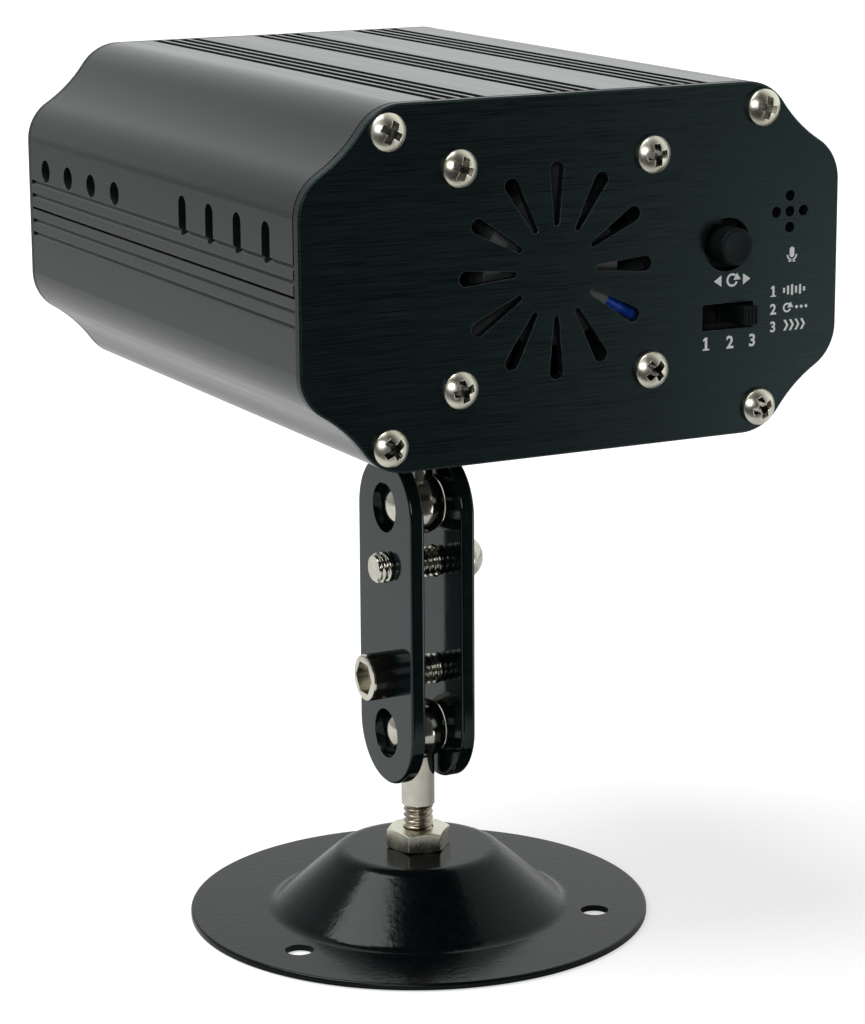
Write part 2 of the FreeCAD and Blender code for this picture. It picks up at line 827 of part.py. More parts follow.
def switch_knob():
    x, half, half_tall = knob_x(), knob_width / 2, knob_height / 2
    back = control_face - slide_body_depth + slide_body_wall + slip_fit
    knob = box(x - half, x + half, rear_face - knob_stand, back, slide_up - half_tall, slide_up + half_tall)
    flange_half = knob_flange_width / 2
    flange_tall = slide_body_height / 2 - slide_body_wall - slip_fit
    flange = box(
        x - flange_half, x + flange_half, back, back + knob_flange_thickness,
        slide_up - flange_tall, slide_up + flange_tall,
    )
    return knob.fuse(flange)


def microphone():
    front = rear_inside + air_gap
    return rod((mic_x, front, mic_up), (0, 1, 0), mic_radius, control_face - front)


def main_board():
    half = side_inside - slip_fit
    return box(-half, half, main_board_rear, main_board_front, main_board_level, main_board_top)


def board_header():
    """A pin strip on the main board whose pins reach the control board."""
    half = header_pins * header_pin_spacing / 2
    middle = control_left + header_inset
    y0 = main_board_rear + slip_fit
    top = main_board_top + header_size
    strip = box(middle - half, middle + half, y0, y0 + header_size, main_board_top, top)
    z = main_board_top + header_size / 2
    half_pin = header_pin / 2
    for k in range(header_pins):
        x = middle + (k - (header_pins - 1) / 2) * header_pin_spacing
        strip = strip.fuse(box(x - half_pin, x + half_pin, control_back, y0, z - half_pin, z + half_pin))
    return strip


def driver_chip():
    half, half_long = chip_width / 2, chip_length / 2
    y = main_board_rear + chip_rear_inset
    return box(-half, half, y - half_long, y + half_long, main_board_top, main_board_top + chip_height)


def capacitors():
    x = capacitor_inset - side_inside
    cans = []
    for k in range(capacitor_count):
        y = main_board_rear + capacitor_rear_inset + k * capacitor_pitch
        cans.append(rod((x, y, main_board_top), (0, 0, 1), capacitor_radius, capacitor_height))
    return Part.makeCompound(cans)


def socket(x, half, y0, y1):
    return box(x - half, x + half, y0, y1, main_board_top, main_board_top + socket_height)


def lead_sockets():
    """One socket for the fan, one for the inlet, and one under each laser and the motor."""
    fan_x = fan_lead_lane + fan_lead_pitch / 2
    power_x = inlet_x + inlet_lead_shift
    sockets = [
        socket(fan_x, socket_depth / 2, fan_socket_rear, fan_socket_rear + socket_depth),
        socket(power_x, socket_depth / 2, main_board_front - socket_depth, main_board_front),
    ]
    for x, rear in optics_lead_starts():
        middle, half = rear - drop_reach(), optics_socket_depth / 2
        sockets.append(socket(x, socket_depth / 2, middle - half, middle + half))
    return Part.makeCompound(sockets)


def drop_reach():
    """How far behind a laser or the motor its leads turn down into their socket."""
    return beam_height - main_board_top - socket_height


def optics_lead_starts():
    return [(-beam_x, laser_rear), (0.0, motor_rear), (beam_x, laser_rear)]


def optics_leads():
    leads = []
    for x, rear in optics_lead_starts():
        for side in (-1, 1):
            across = x + side * lead_pitch / 2
            turn_y = rear - drop_reach()
            end = main_board_top + socket_height
            route = [(across, rear, beam_height), (across, turn_y, beam_height), (across, turn_y, end)]
            leads.append(lead(route, lead_radius))
    return Part.makeCompound(leads)


def inlet_leads():
    leads = []
    for side in (-1, 1):
        x = inlet_x + side * lead_pitch
        entry = main_board_top + socket_height / 2
        third = (inlet_rear - main_board_front) / 3
        route = [
            (x, inlet_rear, inlet_up),
            (x, inlet_rear - third, inlet_up),
            (x + inlet_lead_shift, main_board_front + third, entry),
            (x + inlet_lead_shift, main_board_front, entry),
        ]
        leads.append(lead(route, lead_radius))
    return Part.makeCompound(leads)


def block_screw_places():
    x = block_half_width - block_leg_width / 2
    return [(side * x, (block_front + block_rear) / 2) for side in (-1, 1)]


def countersunk_steps(clearance):
    """A flat-headed screw's outline from its head's face upwards."""
    shank = screw_shank_radius + clearance
    head = screw_head_radius + clearance
    return [(0, 0), (head, 0), (shank, head - shank), (shank, block_screw_length), (0, block_screw_length)]


def optics_block_screws():
    screws = []
    for x, y in block_screw_places():
        screw = turned(countersunk_steps(0), (0, 0, 0), (0, 0, 1))
        half_span, half_cut = recess_span / 2, recess_width / 2
        cross = box(-half_span, half_span, -half_cut, half_cut, 0, recess_depth)
        cross = cross.fuse(box(-half_cut, half_cut, -half_span, half_span, 0, recess_depth))
        screws.append(placed(screw.cut(cross), (x, y, -half_height), (0, 0, 1)))
    return Part.makeCompound(screws)


def optics_block():
    """The aluminium block: two laser bores, the motor's bore, two legs and the wheels' hollow spigots."""
    body = box(-block_half_width, block_half_width, block_rear, block_front, block_bottom, block_top)
    for side in (-1, 1):
        leg = sorted((side * block_half_width, side * (block_half_width - block_leg_width)))
        body = body.fuse(box(*leg, block_rear, block_front, floor_level, block_bottom))
        centre = (side * beam_x, block_front, beam_height)
        body = body.fuse(rod(centre, (0, 1, 0), spigot_radius, spigot_length))
    for side in (-1, 1):
        x = side * beam_x
        start = (x, block_rear, beam_height)
        body = body.cut(rod(start, (0, 1, 0), laser_radius + running_fit, laser_front - block_rear))
        body = body.cut(rod(start, (0, 1, 0), beam_hole_radius, block_length + spigot_length))
        groove = (x, wheel_face + air_gap - slip_fit, beam_height)
        ring_length = clip_thickness + 2 * slip_fit
        body = body.cut(tube(groove, (0, 1, 0), clip_radius, clip_groove_radius, ring_length))
        top = (x, (block_rear + block_front) / 2, block_top)
        body = body.cut(rod(top, (0, 0, -1), grub_radius + thread_fit, block_top - beam_height))
    for x, y in block_screw_places():
        shank = screw_shank_radius + thread_fit
        body = body.cut(rod((x, y, floor_level), (0, 0, 1), shank, block_screw_length))
    middle = (0, block_rear, beam_height)
    body = body.cut(rod(middle, (0, 1, 0), motor_radius + running_fit, motor_front - block_rear))
    body = body.cut(rod(middle, (0, 1, 0), motor_shaft_radius + hole_clearance, block_length))
    return body.removeSplitter()


def laser(side):
    """A brass barrel with a glass front bored back from its nose."""
    x = side * beam_x
    barrel = rod((x, laser_rear, beam_height), (0, 1, 0), laser_radius, laser_length)
    nose = (x, laser_front - laser_lens_depth, beam_height)
    return barrel.cut(rod(nose, (0, 1, 0), laser_lens_radius, laser_lens_depth))


def laser_grub_screws():
    y = (block_rear + block_front) / 2
    end = beam_height + laser_radius
    screws = []
    for side in (-1, 1):
        grub = rod((side * beam_x, y, end), (0, 0, 1), grub_radius, grub_length)
        mouth = (side * beam_x, y, end + grub_length / 2)
        screws.append(grub.cut(hexagon(mouth, (0, 0, 1), grub_radius, grub_length / 2)))
    return Part.makeCompound(screws)


def grating_motor():
    body = rod((0, motor_rear, beam_height), (0, 1, 0), motor_radius, motor_length)
    bore = motor_shaft_radius + running_fit
    return body.cut(rod((0, motor_rear + air_gap, beam_height), (0, 1, 0), bore, motor_length))


def motor_shaft():
    start = motor_rear + 2 * air_gap
    return rod((0, start, beam_height), (0, 1, 0), motor_shaft_radius, wheel_face - start)


def gear(teeth, centre_x, y0, y1, bore, phase):
    """An involute spur gear about an axis along Y, with flanks of short straight lines."""
    pitch = gear_module * teeth / 2
    slant = math.radians(gear_pressure_angle)
    base = pitch * math.cos(slant)
    tip, root = pitch + gear_tip_modules * gear_module, pitch - gear_root_modules * gear_module
    involute = math.tan(slant) - slant
    half_tooth = math.pi / (2 * teeth) - gear_backlash / (4 * pitch)
    low = max(base, root)
    flank = []
    for k in range(gear_flank_points):
        radius = low + (tip - low) * k / (gear_flank_points - 1)
        pressure = math.acos(base / radius)
        flank.append((radius, half_tooth + involute - math.tan(pressure) + pressure))
    flank = [(root, flank[0][1])] + flank if root < low else flank
    points = []
    for tooth in range(teeth):
        middle = phase + 2 * math.pi * tooth / teeth
        polar = [(r, middle - a) for r, a in flank] + [(r, middle + a) for r, a in reversed(flank)]
        points += [(centre_x + r * math.cos(a), beam_height + r * math.sin(a)) for r, a in polar]
    body = plate_prism(points, y0, y1)
    return body.cut(rod((centre_x, y0, beam_height), (0, 1, 0), bore, y1 - y0))


def motor_pinion():
    return gear(pinion_teeth, 0.0, wheel_rear, wheel_face, motor_shaft_radius, math.pi / pinion_teeth)


def grating_wheel(side):
    x = side * beam_x
    wheel = gear(wheel_teeth, x, wheel_rear, wheel_face, spigot_radius + running_fit, 0.0)
    start = (x, wheel_face, beam_height)
    collar = tube(start, (0, 1, 0), wheel_collar_outer, wheel_collar_inner, wheel_collar_length)
    return wheel.fuse(collar).removeSplitter()


def grating_film(side):
    return rod((side * beam_x, collar_front, beam_height), (0, 1, 0), wheel_collar_outer, film_thickness)


def wheel_clips():
    """Open spring rings in the spigots' grooves that keep the wheels on."""
    clips = []
    for side in (-1, 1):
        x, y = side * beam_x, wheel_face + air_gap
        ring = tube((x, y, beam_height), (0, 1, 0), clip_radius, clip_groove_radius, clip_thickness)
        half = clip_groove_radius / 2
        slot = box(x - half, x + half, y, y + clip_thickness, beam_height, beam_height + clip_radius)
        clips.append(ring.cut(slot))
    return Part.makeCompound(clips)


def window_bezel(side):
    """A flanged ring in the front panel with a lip that the glass rests on."""
    outer = window_radius + bezel_wall
    seat = window_radius + slip_fit
    depth = panel_thickness + window_thickness
    steps = [
        (window_radius - bezel_lip, bezel_flange_thickness),
        (bezel_flange_radius - panel_edge_chamfer, bezel_flange_thickness),
        (bezel_flange_radius, bezel_flange_thickness - panel_edge_chamfer),
        (bezel_flange_radius, 0),
        (outer, 0),
        (outer, -depth),
        (seat, -depth),
        (seat, 0),
        (window_radius - bezel_lip, 0),
    ]
    return turned(steps, (side * beam_x, front_face, beam_height), (0, 1, 0))


def window_glass(side):
    start = (side * beam_x, front_face - window_thickness, beam_height)
    return rod(start, (0, 1, 0), window_radius, window_thickness)


def power_inlet():
    """A barrel socket with a centre pin, held by its flange and a nut behind the panel."""
    mouth = (inlet_x, front_face + inlet_flange_thickness, inlet_up)
    inlet = rod((inlet_x, inlet_rear, inlet_up), (0, 1, 0), inlet_barrel_radius, inlet_length)
    inlet = inlet.fuse(rod(mouth, (0, -1, 0), inlet_flange_radius, inlet_flange_thickness))
    inlet = inlet.cut(rod(mouth, (0, -1, 0), inlet_bore_radius, inlet_bore_depth))
    root = (inlet_x, mouth[1] - inlet_bore_depth, inlet_up)
    return inlet.fuse(rod(root, (0, 1, 0), inlet_pin_radius, inlet_bore_depth - inlet_pin_radius))


def power_inlet_nut():
    bore = inlet_barrel_radius + thread_fit
    return hex_nut((inlet_x, front_inside, inlet_up), (0, -1, 0), inlet_nut_flats, inlet_nut_height, bore)


def mount_insert():
    """The threaded hex insert on the housing's floor that the upper stud screws into."""
    return hex_nut((0, 0, floor_level), (0, 0, 1), lock_nut_flats, weld_nut_height, stud_radius + running_fit)


def ball_stud(ball, direction, end):
    """A ball, a smooth collar and a threaded end, along +Z or -Z from the ball's centre."""
    tail = direction * (end - ball)
    neck = math.sqrt(ball_radius ** 2 - collar_radius ** 2)
    thread = threaded_steps(stud_radius, collar_reach, tail)
    steps = [(0, -ball_radius), ((ball_radius, 0), (collar_radius, neck)), (collar_radius, collar_reach)]
    steps += thread + [(0, tail)]
    return turned(steps, (0, 0, ball), (0, 0, direction))


def lower_ball_stud():
    return ball_stud(lower_ball, -1, dome_top - base_sheet - weld_nut_height)


def upper_ball_stud():
    return ball_stud(upper_ball, 1, housing_bottom + shell_wall + weld_nut_height)


def lock_nut(level, direction):
    bore = stud_radius + thread_fit
    return hex_nut((0, 0, level), (0, 0, direction), lock_nut_flats, lock_nut_height, bore, lock_nut_turn)


def arm_outline():
    """The plate's long shape with generously rounded ends and eased edges, in (y, z)."""
    half, low, high = arm_width / 2, lower_ball - arm_end_reach, upper_ball + arm_end_reach
    blank = box(0, arm_thickness, -half, half, low, high)
    ends = [e for e in blank.Edges if e.BoundBox.XLength > arm_thickness / 2]
    blank = blank.makeFillet(min(arm_corner_round, half - running_fit), ends)
    rims = [e for e in blank.Edges if e.BoundBox.XLength < arm_thickness / 2]
    return blank.makeFillet(min(arm_edge_round, arm_thickness / 2 - running_fit), rims)


def arm_plate(side, upper_hole, lower_hole):
    """A plate with a round seat for each ball and a hole for each clamp screw."""
    plate = arm_outline()
    x0 = arm_inner_face if side > 0 else -arm_outer_face
    plate.translate(V(x0, 0, 0))
    cuts = [
        (lower_ball, ball_hole_radius),
        (upper_ball, ball_hole_radius),
        (arm_middle + clamp_spacing / 2, upper_hole),
        (arm_middle - clamp_spacing / 2, lower_hole),
    ]
    for z, radius in cuts:
        plate = plate.cut(rod((x0, 0, z), (1, 0, 0), radius, arm_thickness))
    return plate


def upper_clamp_screw():
    """Domed head on the right plate; its threaded end stands out of the left plate."""
    length = 2 * arm_outer_face + clamp_end_stand
    steps = [(0, -length)] + threaded_steps(clamp_radius, -length, 0)
    cap = dome(clamp_head_radius, clamp_head_edge, clamp_head_height)
    steps += [(clamp_head_radius, 0), (clamp_head_radius, clamp_head_edge), cap]
    z = arm_middle + clamp_spacing / 2
    return turned(steps, (arm_outer_face, 0, z), (1, 0, 0))


def lower_clamp_screw():
    """Socket head on the left plate; its end stays within the right plate."""
    length = 2 * arm_outer_face - air_gap
    ease = panel_edge_chamfer
    steps = [(0, -length)] + threaded_steps(clamp_radius, -length, 0)
    steps += [
        (cap_head_radius, 0),
        (cap_head_radius, cap_head_height - ease),
        (cap_head_radius - ease, cap_head_height),
        (0, cap_head_height),
    ]
    z = arm_middle - clamp_spacing / 2
    start = (-arm_outer_face, 0, z)
    screw = turned(steps, start, (-1, 0, 0))
    mouth = (-arm_outer_face - cap_head_height + cap_socket_depth, 0, z)
    return screw.cut(hexagon(mouth, (-1, 0, 0), cap_socket_flats, cap_socket_depth))


def base_plate():
    """Pressed sheet: a flat flange, a straight flank and a flat raised middle, all of one thickness."""
    slope = math.radians(dome_slope)
    bend_start = math.tan(slope / 2)
    foot = (dome_foot_radius + foot_bend * bend_start, base_sheet + foot_bend)
    crown = (dome_top_radius - shoulder_bend * bend_start, dome_top - shoulder_bend)

    def on_foot(radius, share):
        return (foot[0] - radius * math.sin(slope * share), foot[1] - radius * math.cos(slope * share))

    def on_crown(radius, share):
        return (crown[0] + radius * math.sin(slope * share), crown[1] + radius * math.cos(slope * share))

    def on_rim(angle):
        rise = base_sheet - base_edge_round + base_edge_round * math.sin(angle)
        return (base_radius - base_edge_round + base_edge_round * math.cos(angle), rise)

    hole = stud_radius + hole_clearance
    inner_bend = shoulder_bend - base_sheet
    outer_bend = foot_bend + base_sheet
    steps = [
        (hole, dome_top),
        on_crown(shoulder_bend, 0),
        (on_crown(shoulder_bend, 0.5), on_crown(shoulder_bend, 1)),
        on_foot(foot_bend, 1),
        (on_foot(foot_bend, 0.5), on_foot(foot_bend, 0)),
        (base_radius - base_edge_round, base_sheet),
        (on_rim(math.pi / 4), on_rim(0)),
        (base_radius, 0),
        on_foot(outer_bend, 0),
        (on_foot(outer_bend, 0.5), on_foot(outer_bend, 1)),
        on_crown(inner_bend, 1),
        (on_crown(inner_bend, 0.5), on_crown(inner_bend, 0)),
        (hole, dome_top - base_sheet),
    ]
    plate = turned(steps, (0, 0, 0), (0, 0, 1))
    for k in range(base_hole_count):
        angle = math.radians(base_hole_turn + 360 * k / base_hole_count)
        x, y = base_hole_circle * math.cos(angle), base_hole_circle * math.sin(angle)
        plate = plate.cut(rod((x, y, 0), (0, 0, 1), base_hole_radius, base_sheet))
    return plate


def base_nut():
    """The weld nut under the dome."""
    bore = stud_radius + running_fit
    return hex_nut((0, 0, dome_top - base_sheet), (0, 0, -1), weld_nut_flats, weld_nut_height, bore)


def save(name, shape):
    shape.exportStep(os.path.join("parts", name + ".step"))


def save_lifted(name, shape):
    shape.translate(V(0, 0, housing_centre))
    save(name, shape)


os.makedirs("parts", exist_ok=True)

# Housing
save_lifted("upper_shell", upper_shell())
save_lifted("lower_shell", lower_shell())
save_lifted("rear_panel", rear_panel())
save_lifted("front_panel", front_panel())
save_lifted("rear_panel_screws", panel_screws(rear_face, -1))
save_lifted("front_panel_screws", panel_screws(front_face, 1))
save_lifted("mount_insert", mount_insert())

# Fan
save_lifted("fan_frame", fan_frame())
save_lifted("fan_bearing", fan_bearing())
save_lifted("fan_stator", fan_stator())
save_lifted("fan_rotor", fan_rotor())
save_lifted("fan_shaft", fan_shaft())
save_lifted("fan_screws", fan_screws())
save_lifted("fan_nuts", fan_nuts())
save_lifted("fan_lead_blue", fan_lead(fan_lead_offset))
save_lifted("fan_lead_white", fan_lead(fan_lead_offset + fan_lead_pitch))

# Controls
save_lifted("control_board", control_board())
save_lifted("control_board_spacers", control_board_spacers())
save_lifted("control_board_nuts", control_board_nuts())
save_lifted("mode_switch", mode_switch())
save_lifted("mode_button", mode_button())
save_lifted("slide_switch", slide_switch())
save_lifted("switch_knob", switch_knob())
save_lifted("microphone", microphone())

# Electronics
save_lifted("main_board", main_board())
save_lifted("board_header", board_header())
save_lifted("driver_chip", driver_chip())
save_lifted("capacitors", capacitors())
save_lifted("lead_sockets", lead_sockets())
save_lifted("optics_leads", optics_leads())
save_lifted("power_inlet", power_inlet())
save_lifted("power_inlet_nut", power_inlet_nut())
save_lifted("inlet_leads", inlet_leads())

# Optics
save_lifted("optics_block", optics_block())
save_lifted("optics_block_screws", optics_block_screws())
save_lifted("red_laser", laser(-1))
save_lifted("green_laser", laser(1))
save_lifted("laser_grub_screws", laser_grub_screws())
save_lifted("grating_motor", grating_motor())
save_lifted("motor_shaft", motor_shaft())
save_lifted("motor_pinion", motor_pinion())
save_lifted("wheel_clips", wheel_clips())
for side_name, side_sign in (("left", -1), ("right", 1)):
    save_lifted("grating_wheel_" + side_name, grating_wheel(side_sign))
    save_lifted("grating_film_" + side_name, grating_film(side_sign))
    save_lifted("window_bezel_" + side_name, window_bezel(side_sign))
    save_lifted("window_glass_" + side_name, window_glass(side_sign))

# Stand
tapped = clamp_radius + running_fit
clear = clamp_radius + hole_clearance
save("upper_ball_stud", upper_ball_stud())
save("upper_lock_nut", lock_nut(housing_bottom, -1))
save("arm_plate_left", arm_plate(-1, tapped, clear))
save("arm_plate_right", arm_plate(1, clear, tapped))
save("upper_clamp_screw", upper_clamp_screw())
save("lower_clamp_screw", lower_clamp_screw())
save("lower_ball_stud", lower_ball_stud())
save("lower_lock_nut", lock_nut(dome_top, 1))
save("base_plate", base_plate())
save("base_nut", base_nut())
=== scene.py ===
import bmesh
import bpy
import math
from mathutils import Matrix, Vector


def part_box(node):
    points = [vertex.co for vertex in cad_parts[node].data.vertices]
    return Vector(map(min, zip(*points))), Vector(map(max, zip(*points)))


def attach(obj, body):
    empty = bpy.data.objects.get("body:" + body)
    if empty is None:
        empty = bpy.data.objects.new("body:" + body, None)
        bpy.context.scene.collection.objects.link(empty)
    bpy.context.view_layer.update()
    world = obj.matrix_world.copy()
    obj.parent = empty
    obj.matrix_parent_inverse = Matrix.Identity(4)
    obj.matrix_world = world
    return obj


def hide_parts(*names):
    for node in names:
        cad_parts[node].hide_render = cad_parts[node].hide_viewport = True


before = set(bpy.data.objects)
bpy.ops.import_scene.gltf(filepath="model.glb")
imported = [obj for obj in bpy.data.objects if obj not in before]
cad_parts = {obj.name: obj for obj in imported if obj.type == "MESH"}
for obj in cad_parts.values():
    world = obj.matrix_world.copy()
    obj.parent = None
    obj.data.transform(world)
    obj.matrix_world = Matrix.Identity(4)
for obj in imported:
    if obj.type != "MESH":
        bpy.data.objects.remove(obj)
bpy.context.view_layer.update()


# Base plate
# A steel disc pressed up into a blunt cone with a flat top, with three screw holes in its flange.
# It is sprayed gloss black with a faint orange peel; the greyer colour along its rim and hole edges is
# painted highlight.

mm = 0.001
hair = 1e-7


def add(tree, kind, inputs=None, **settings):
    """A node of a tree, with its settings, and its inputs set to values or linked to other sockets."""
    made = tree.nodes.new(kind)
    for name, value in settings.items():
        setattr(made, name, value)
    for name, value in (inputs or {}).items():
        if isinstance(value, bpy.types.NodeSocket):
            tree.links.new(value, made.inputs[name])
        else:
            made.inputs[name].default_value = value
    return made


def new_group(name, kind, takes, gives):
    """An empty node group with named sockets, and its input and output nodes."""
    group = bpy.data.node_groups.new(name, kind)
    for direction, sockets in (("INPUT", takes), ("OUTPUT", gives)):
        for label, socket in sockets.items():
            group.interface.new_socket(label, in_out=direction, socket_type="NodeSocket" + socket)
    return group, group.nodes.new("NodeGroupInput"), group.nodes.new("NodeGroupOutput")


def blend(tree, share, low, high):
    """The mix of two colours; each is a socket or a plain colour."""
    mixed = tree.nodes.new("ShaderNodeMix")
    mixed.data_type = "RGBA"
    sockets = {socket.identifier: socket for socket in mixed.inputs}
    for name, value in (("Factor_Float", share), ("A_Color", low), ("B_Color", high)):
        if isinstance(value, bpy.types.NodeSocket):
            tree.links.new(value, sockets[name])
        else:
            sockets[name].default_value = (*value, 1)
    return next(socket for socket in mixed.outputs if socket.identifier == "Result_Color")


def surface_grain():
    """Colour, roughness and height that wander over a surface: fine grain on broad clouds."""
    takes = {
        "Dark": "Color", "Light": "Color", "Smooth": "Float", "Rough": "Float", "Grain": "Vector",
        "Clouds": "Float",
    }
    gives = {"Color": "Color", "Roughness": "Float", "Height": "Float"}
    cloud_spread, darkest, lightest = 0.13, 0.2, 0.8
    group, given, result = new_group("surface_grain", "ShaderNodeTree", takes, gives)
    place = add(group, "ShaderNodeTexCoord").outputs["Object"]
    spread = {0: place, 1: given.outputs["Grain"]}
    fine_place = add(group, "ShaderNodeVectorMath", spread, operation="MULTIPLY").outputs[0]
    broad = {0: fine_place, "Scale": cloud_spread}
    broad_place = add(group, "ShaderNodeVectorMath", broad, operation="SCALE").outputs[0]
    fine = add(group, "ShaderNodeTexNoise", {"Vector": fine_place, "Scale": 1.0, "Detail": 3.0})
    cloud = add(group, "ShaderNodeTexNoise", {"Vector": broad_place, "Scale": 1.0, "Detail": 2.0})
    swing = add(group, "ShaderNodeMath", {0: cloud.outputs["Fac"], 1: 0.5}, operation="SUBTRACT").outputs[0]
    both = {0: swing, 1: given.outputs["Clouds"], 2: fine.outputs["Fac"]}
    total = add(group, "ShaderNodeMath", both, operation="MULTIPLY_ADD").outputs[0]
    levels = {"Value": total, "From Min": darkest, "From Max": lightest}
    share = add(group, "ShaderNodeMapRange", levels).outputs["Result"]
    tint = blend(group, share, given.outputs["Dark"], given.outputs["Light"])
    rough = {0: share, 3: given.outputs["Smooth"], 4: given.outputs["Rough"]}
    group.links.new(tint, result.inputs["Color"])
    group.links.new(add(group, "ShaderNodeMapRange", rough).outputs["Result"], result.inputs["Roughness"])
    group.links.new(fine.outputs["Fac"], result.inputs["Height"])
    return group


def edge_wear_and_highlight():
    """A mask along a piece's edges, broken up by noise, and a normal that rounds them; the edge colour
    painted there is partly wear and partly painted highlight.
    """
    takes = {"Radius": "Float", "Patches": "Float"}
    gives = {"Mask": "Float", "Normal": "Vector"}
    bend_start, bend_full = 0.98, 0.75
    group, given, result = new_group("edge_wear_and_highlight", "ShaderNodeTree", takes, gives)
    round_over = add(group, "ShaderNodeBevel", {"Radius": given.outputs["Radius"]}, samples=6).outputs[0]
    flat = add(group, "ShaderNodeNewGeometry").outputs["Normal"]
    bend = add(group, "ShaderNodeVectorMath", {0: round_over, 1: flat}, operation="DOT_PRODUCT")
    levels = {"Value": bend.outputs["Value"], "From Min": bend_start, "From Max": bend_full}
    edge = add(group, "ShaderNodeMapRange", levels).outputs["Result"]
    place = add(group, "ShaderNodeTexCoord").outputs["Object"]
    spots = {"Vector": place, "Scale": given.outputs["Patches"], "Detail": 2.0}
    patch = add(group, "ShaderNodeTexNoise", spots).outputs["Fac"]
    mask = add(group, "ShaderNodeMath", {0: edge, 1: patch}, operation="MULTIPLY").outputs[0]
    group.links.new(mask, result.inputs["Mask"])
    group.links.new(round_over, result.inputs["Normal"])
    return group


grain_group = surface_grain()
edge_group = edge_wear_and_highlight()
edge_patches = 900.0


def finish(name, dark, light, smooth, rough, grain, relief=0.0, edge=None, clouds=1.0, **shader):
    """A material of wandering grain, one number where it runs no way; edge is (radius, edge colour: wear
    and painted highlight).
    """
    made = bpy.data.materials.new(name)
    made.use_nodes = True
    tree = made.node_tree
    bsdf = tree.nodes["Principled BSDF"]
    for socket, value in shader.items():
        bsdf.inputs[socket.replace("_", " ")].default_value = value
    even = isinstance(grain, int)
    values = {
        "Dark": (*dark, 1), "Light": (*light, 1), "Smooth": smooth, "Rough": rough, "Clouds": clouds,
        "Grain": (grain, grain, grain) if even else grain,
    }
    surface = add(tree, "ShaderNodeGroup", None, node_tree=grain_group)
    for socket, value in values.items():
        surface.inputs[socket].default_value = value
    tree.links.new(surface.outputs["Roughness"], bsdf.inputs["Roughness"])
    colour = surface.outputs["Color"]
    bump = add(tree, "ShaderNodeBump", {"Height": surface.outputs["Height"], "Distance": max(relief, hair)})
    # Edges take a lighter colour: partly wear, partly painted highlight.
    if edge:
        radius, edge_tint = edge
        edge_mark = add(tree, "ShaderNodeGroup", None, node_tree=edge_group)
        edge_mark.inputs["Radius"].default_value = radius
        edge_mark.inputs["Patches"].default_value = edge_patches
        colour = blend(tree, edge_mark.outputs["Mask"], colour, edge_tint)
        tree.links.new(edge_mark.outputs["Normal"], bump.inputs["Normal"])
    tree.links.new(colour, bsdf.inputs["Base Color"])
    tree.links.new(bump.outputs["Normal"], bsdf.inputs["Normal"])
    return made


def dress(material, *nodes):
    """Give CAD nodes their finish."""
    for node in nodes:
        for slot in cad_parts[node].material_slots:
            slot.material = material


# The edge colour is painted highlight along the rim and the holes' edges.
base_paint = finish(
    "base_paint", (0.0010, 0.0020, 0.0022), (0.0022, 0.0042, 0.0045), 0.13, 0.20, 950,
    relief=0.036 * mm, edge=(0.20 * mm, (0.02, 0.022, 0.022)), Specular_IOR_Level=0.165,
    Specular_Tint=(0.93, 1.0, 0.98, 1.0),
)
dress(base_paint, "base_plate")


# Weld nut
# A plain hexagon nut that the lower stud screws into, welded under the cone's flat top.
# Zinc plated steel, dull and a little mottled.

zinc = finish(
    "zinc_plate", (0.40, 0.41, 0.43), (0.58, 0.58, 0.57), 0.28, 0.46, 400,
    relief=0.006 * mm, edge=(0.15 * mm, (0.70, 0.70, 0.68)), Metallic=1.0,
)
dress(zinc, "base_nut")


# Lower ball stud and its lock nut
# One turned steel piece: a ball for the clamp, a smooth collar and a screw-cut tail.
# Bright nickel plate, browned by oil along the thread; the hexagon nut locks it on the base.

def arc_steps(centre, radius, start, stop, count):
    """(radius, along) steps on a circle about a point of the axis, angles from the axis in degrees."""
    angles = [math.radians(start + (stop - start) * k / count) for k in range(count + 1)]
    return [(radius * math.sin(a), centre + radius * math.cos(a)) for a in angles]


def turned(mesh, steps, start, axis, around=72):
    """Add a body of revolution to a mesh, from (radius, along) steps; a step on the axis is one point."""
    aim = Vector((0, 0, 1)).rotation_difference(Vector(axis)).to_matrix().to_4x4()
    place = Matrix.Translation(start) @ aim
    rings = []
    for radius, along in steps:
        count = around if radius > hair else 1
        angles = [2 * math.pi * k / around for k in range(count)]
        ring = [Vector((radius * math.cos(a), radius * math.sin(a), along)) for a in angles]
        rings.append([mesh.verts.new(place @ p) for p in ring])
    for low, high in zip(rings, rings[1:]):
        for k in range(around):
            below = [low[k % len(low)], low[(k + 1) % len(low)]]
            above = [high[(k + 1) % len(high)], high[k % len(high)]]
            mesh.faces.new(list(dict.fromkeys(below + above)))


def calc(tree, operation, a, b=0.0):
    """The result of one sum in a node tree."""
    return add(tree, "ShaderNodeMath", {0: a, 1: b}, operation=operation).outputs[0]


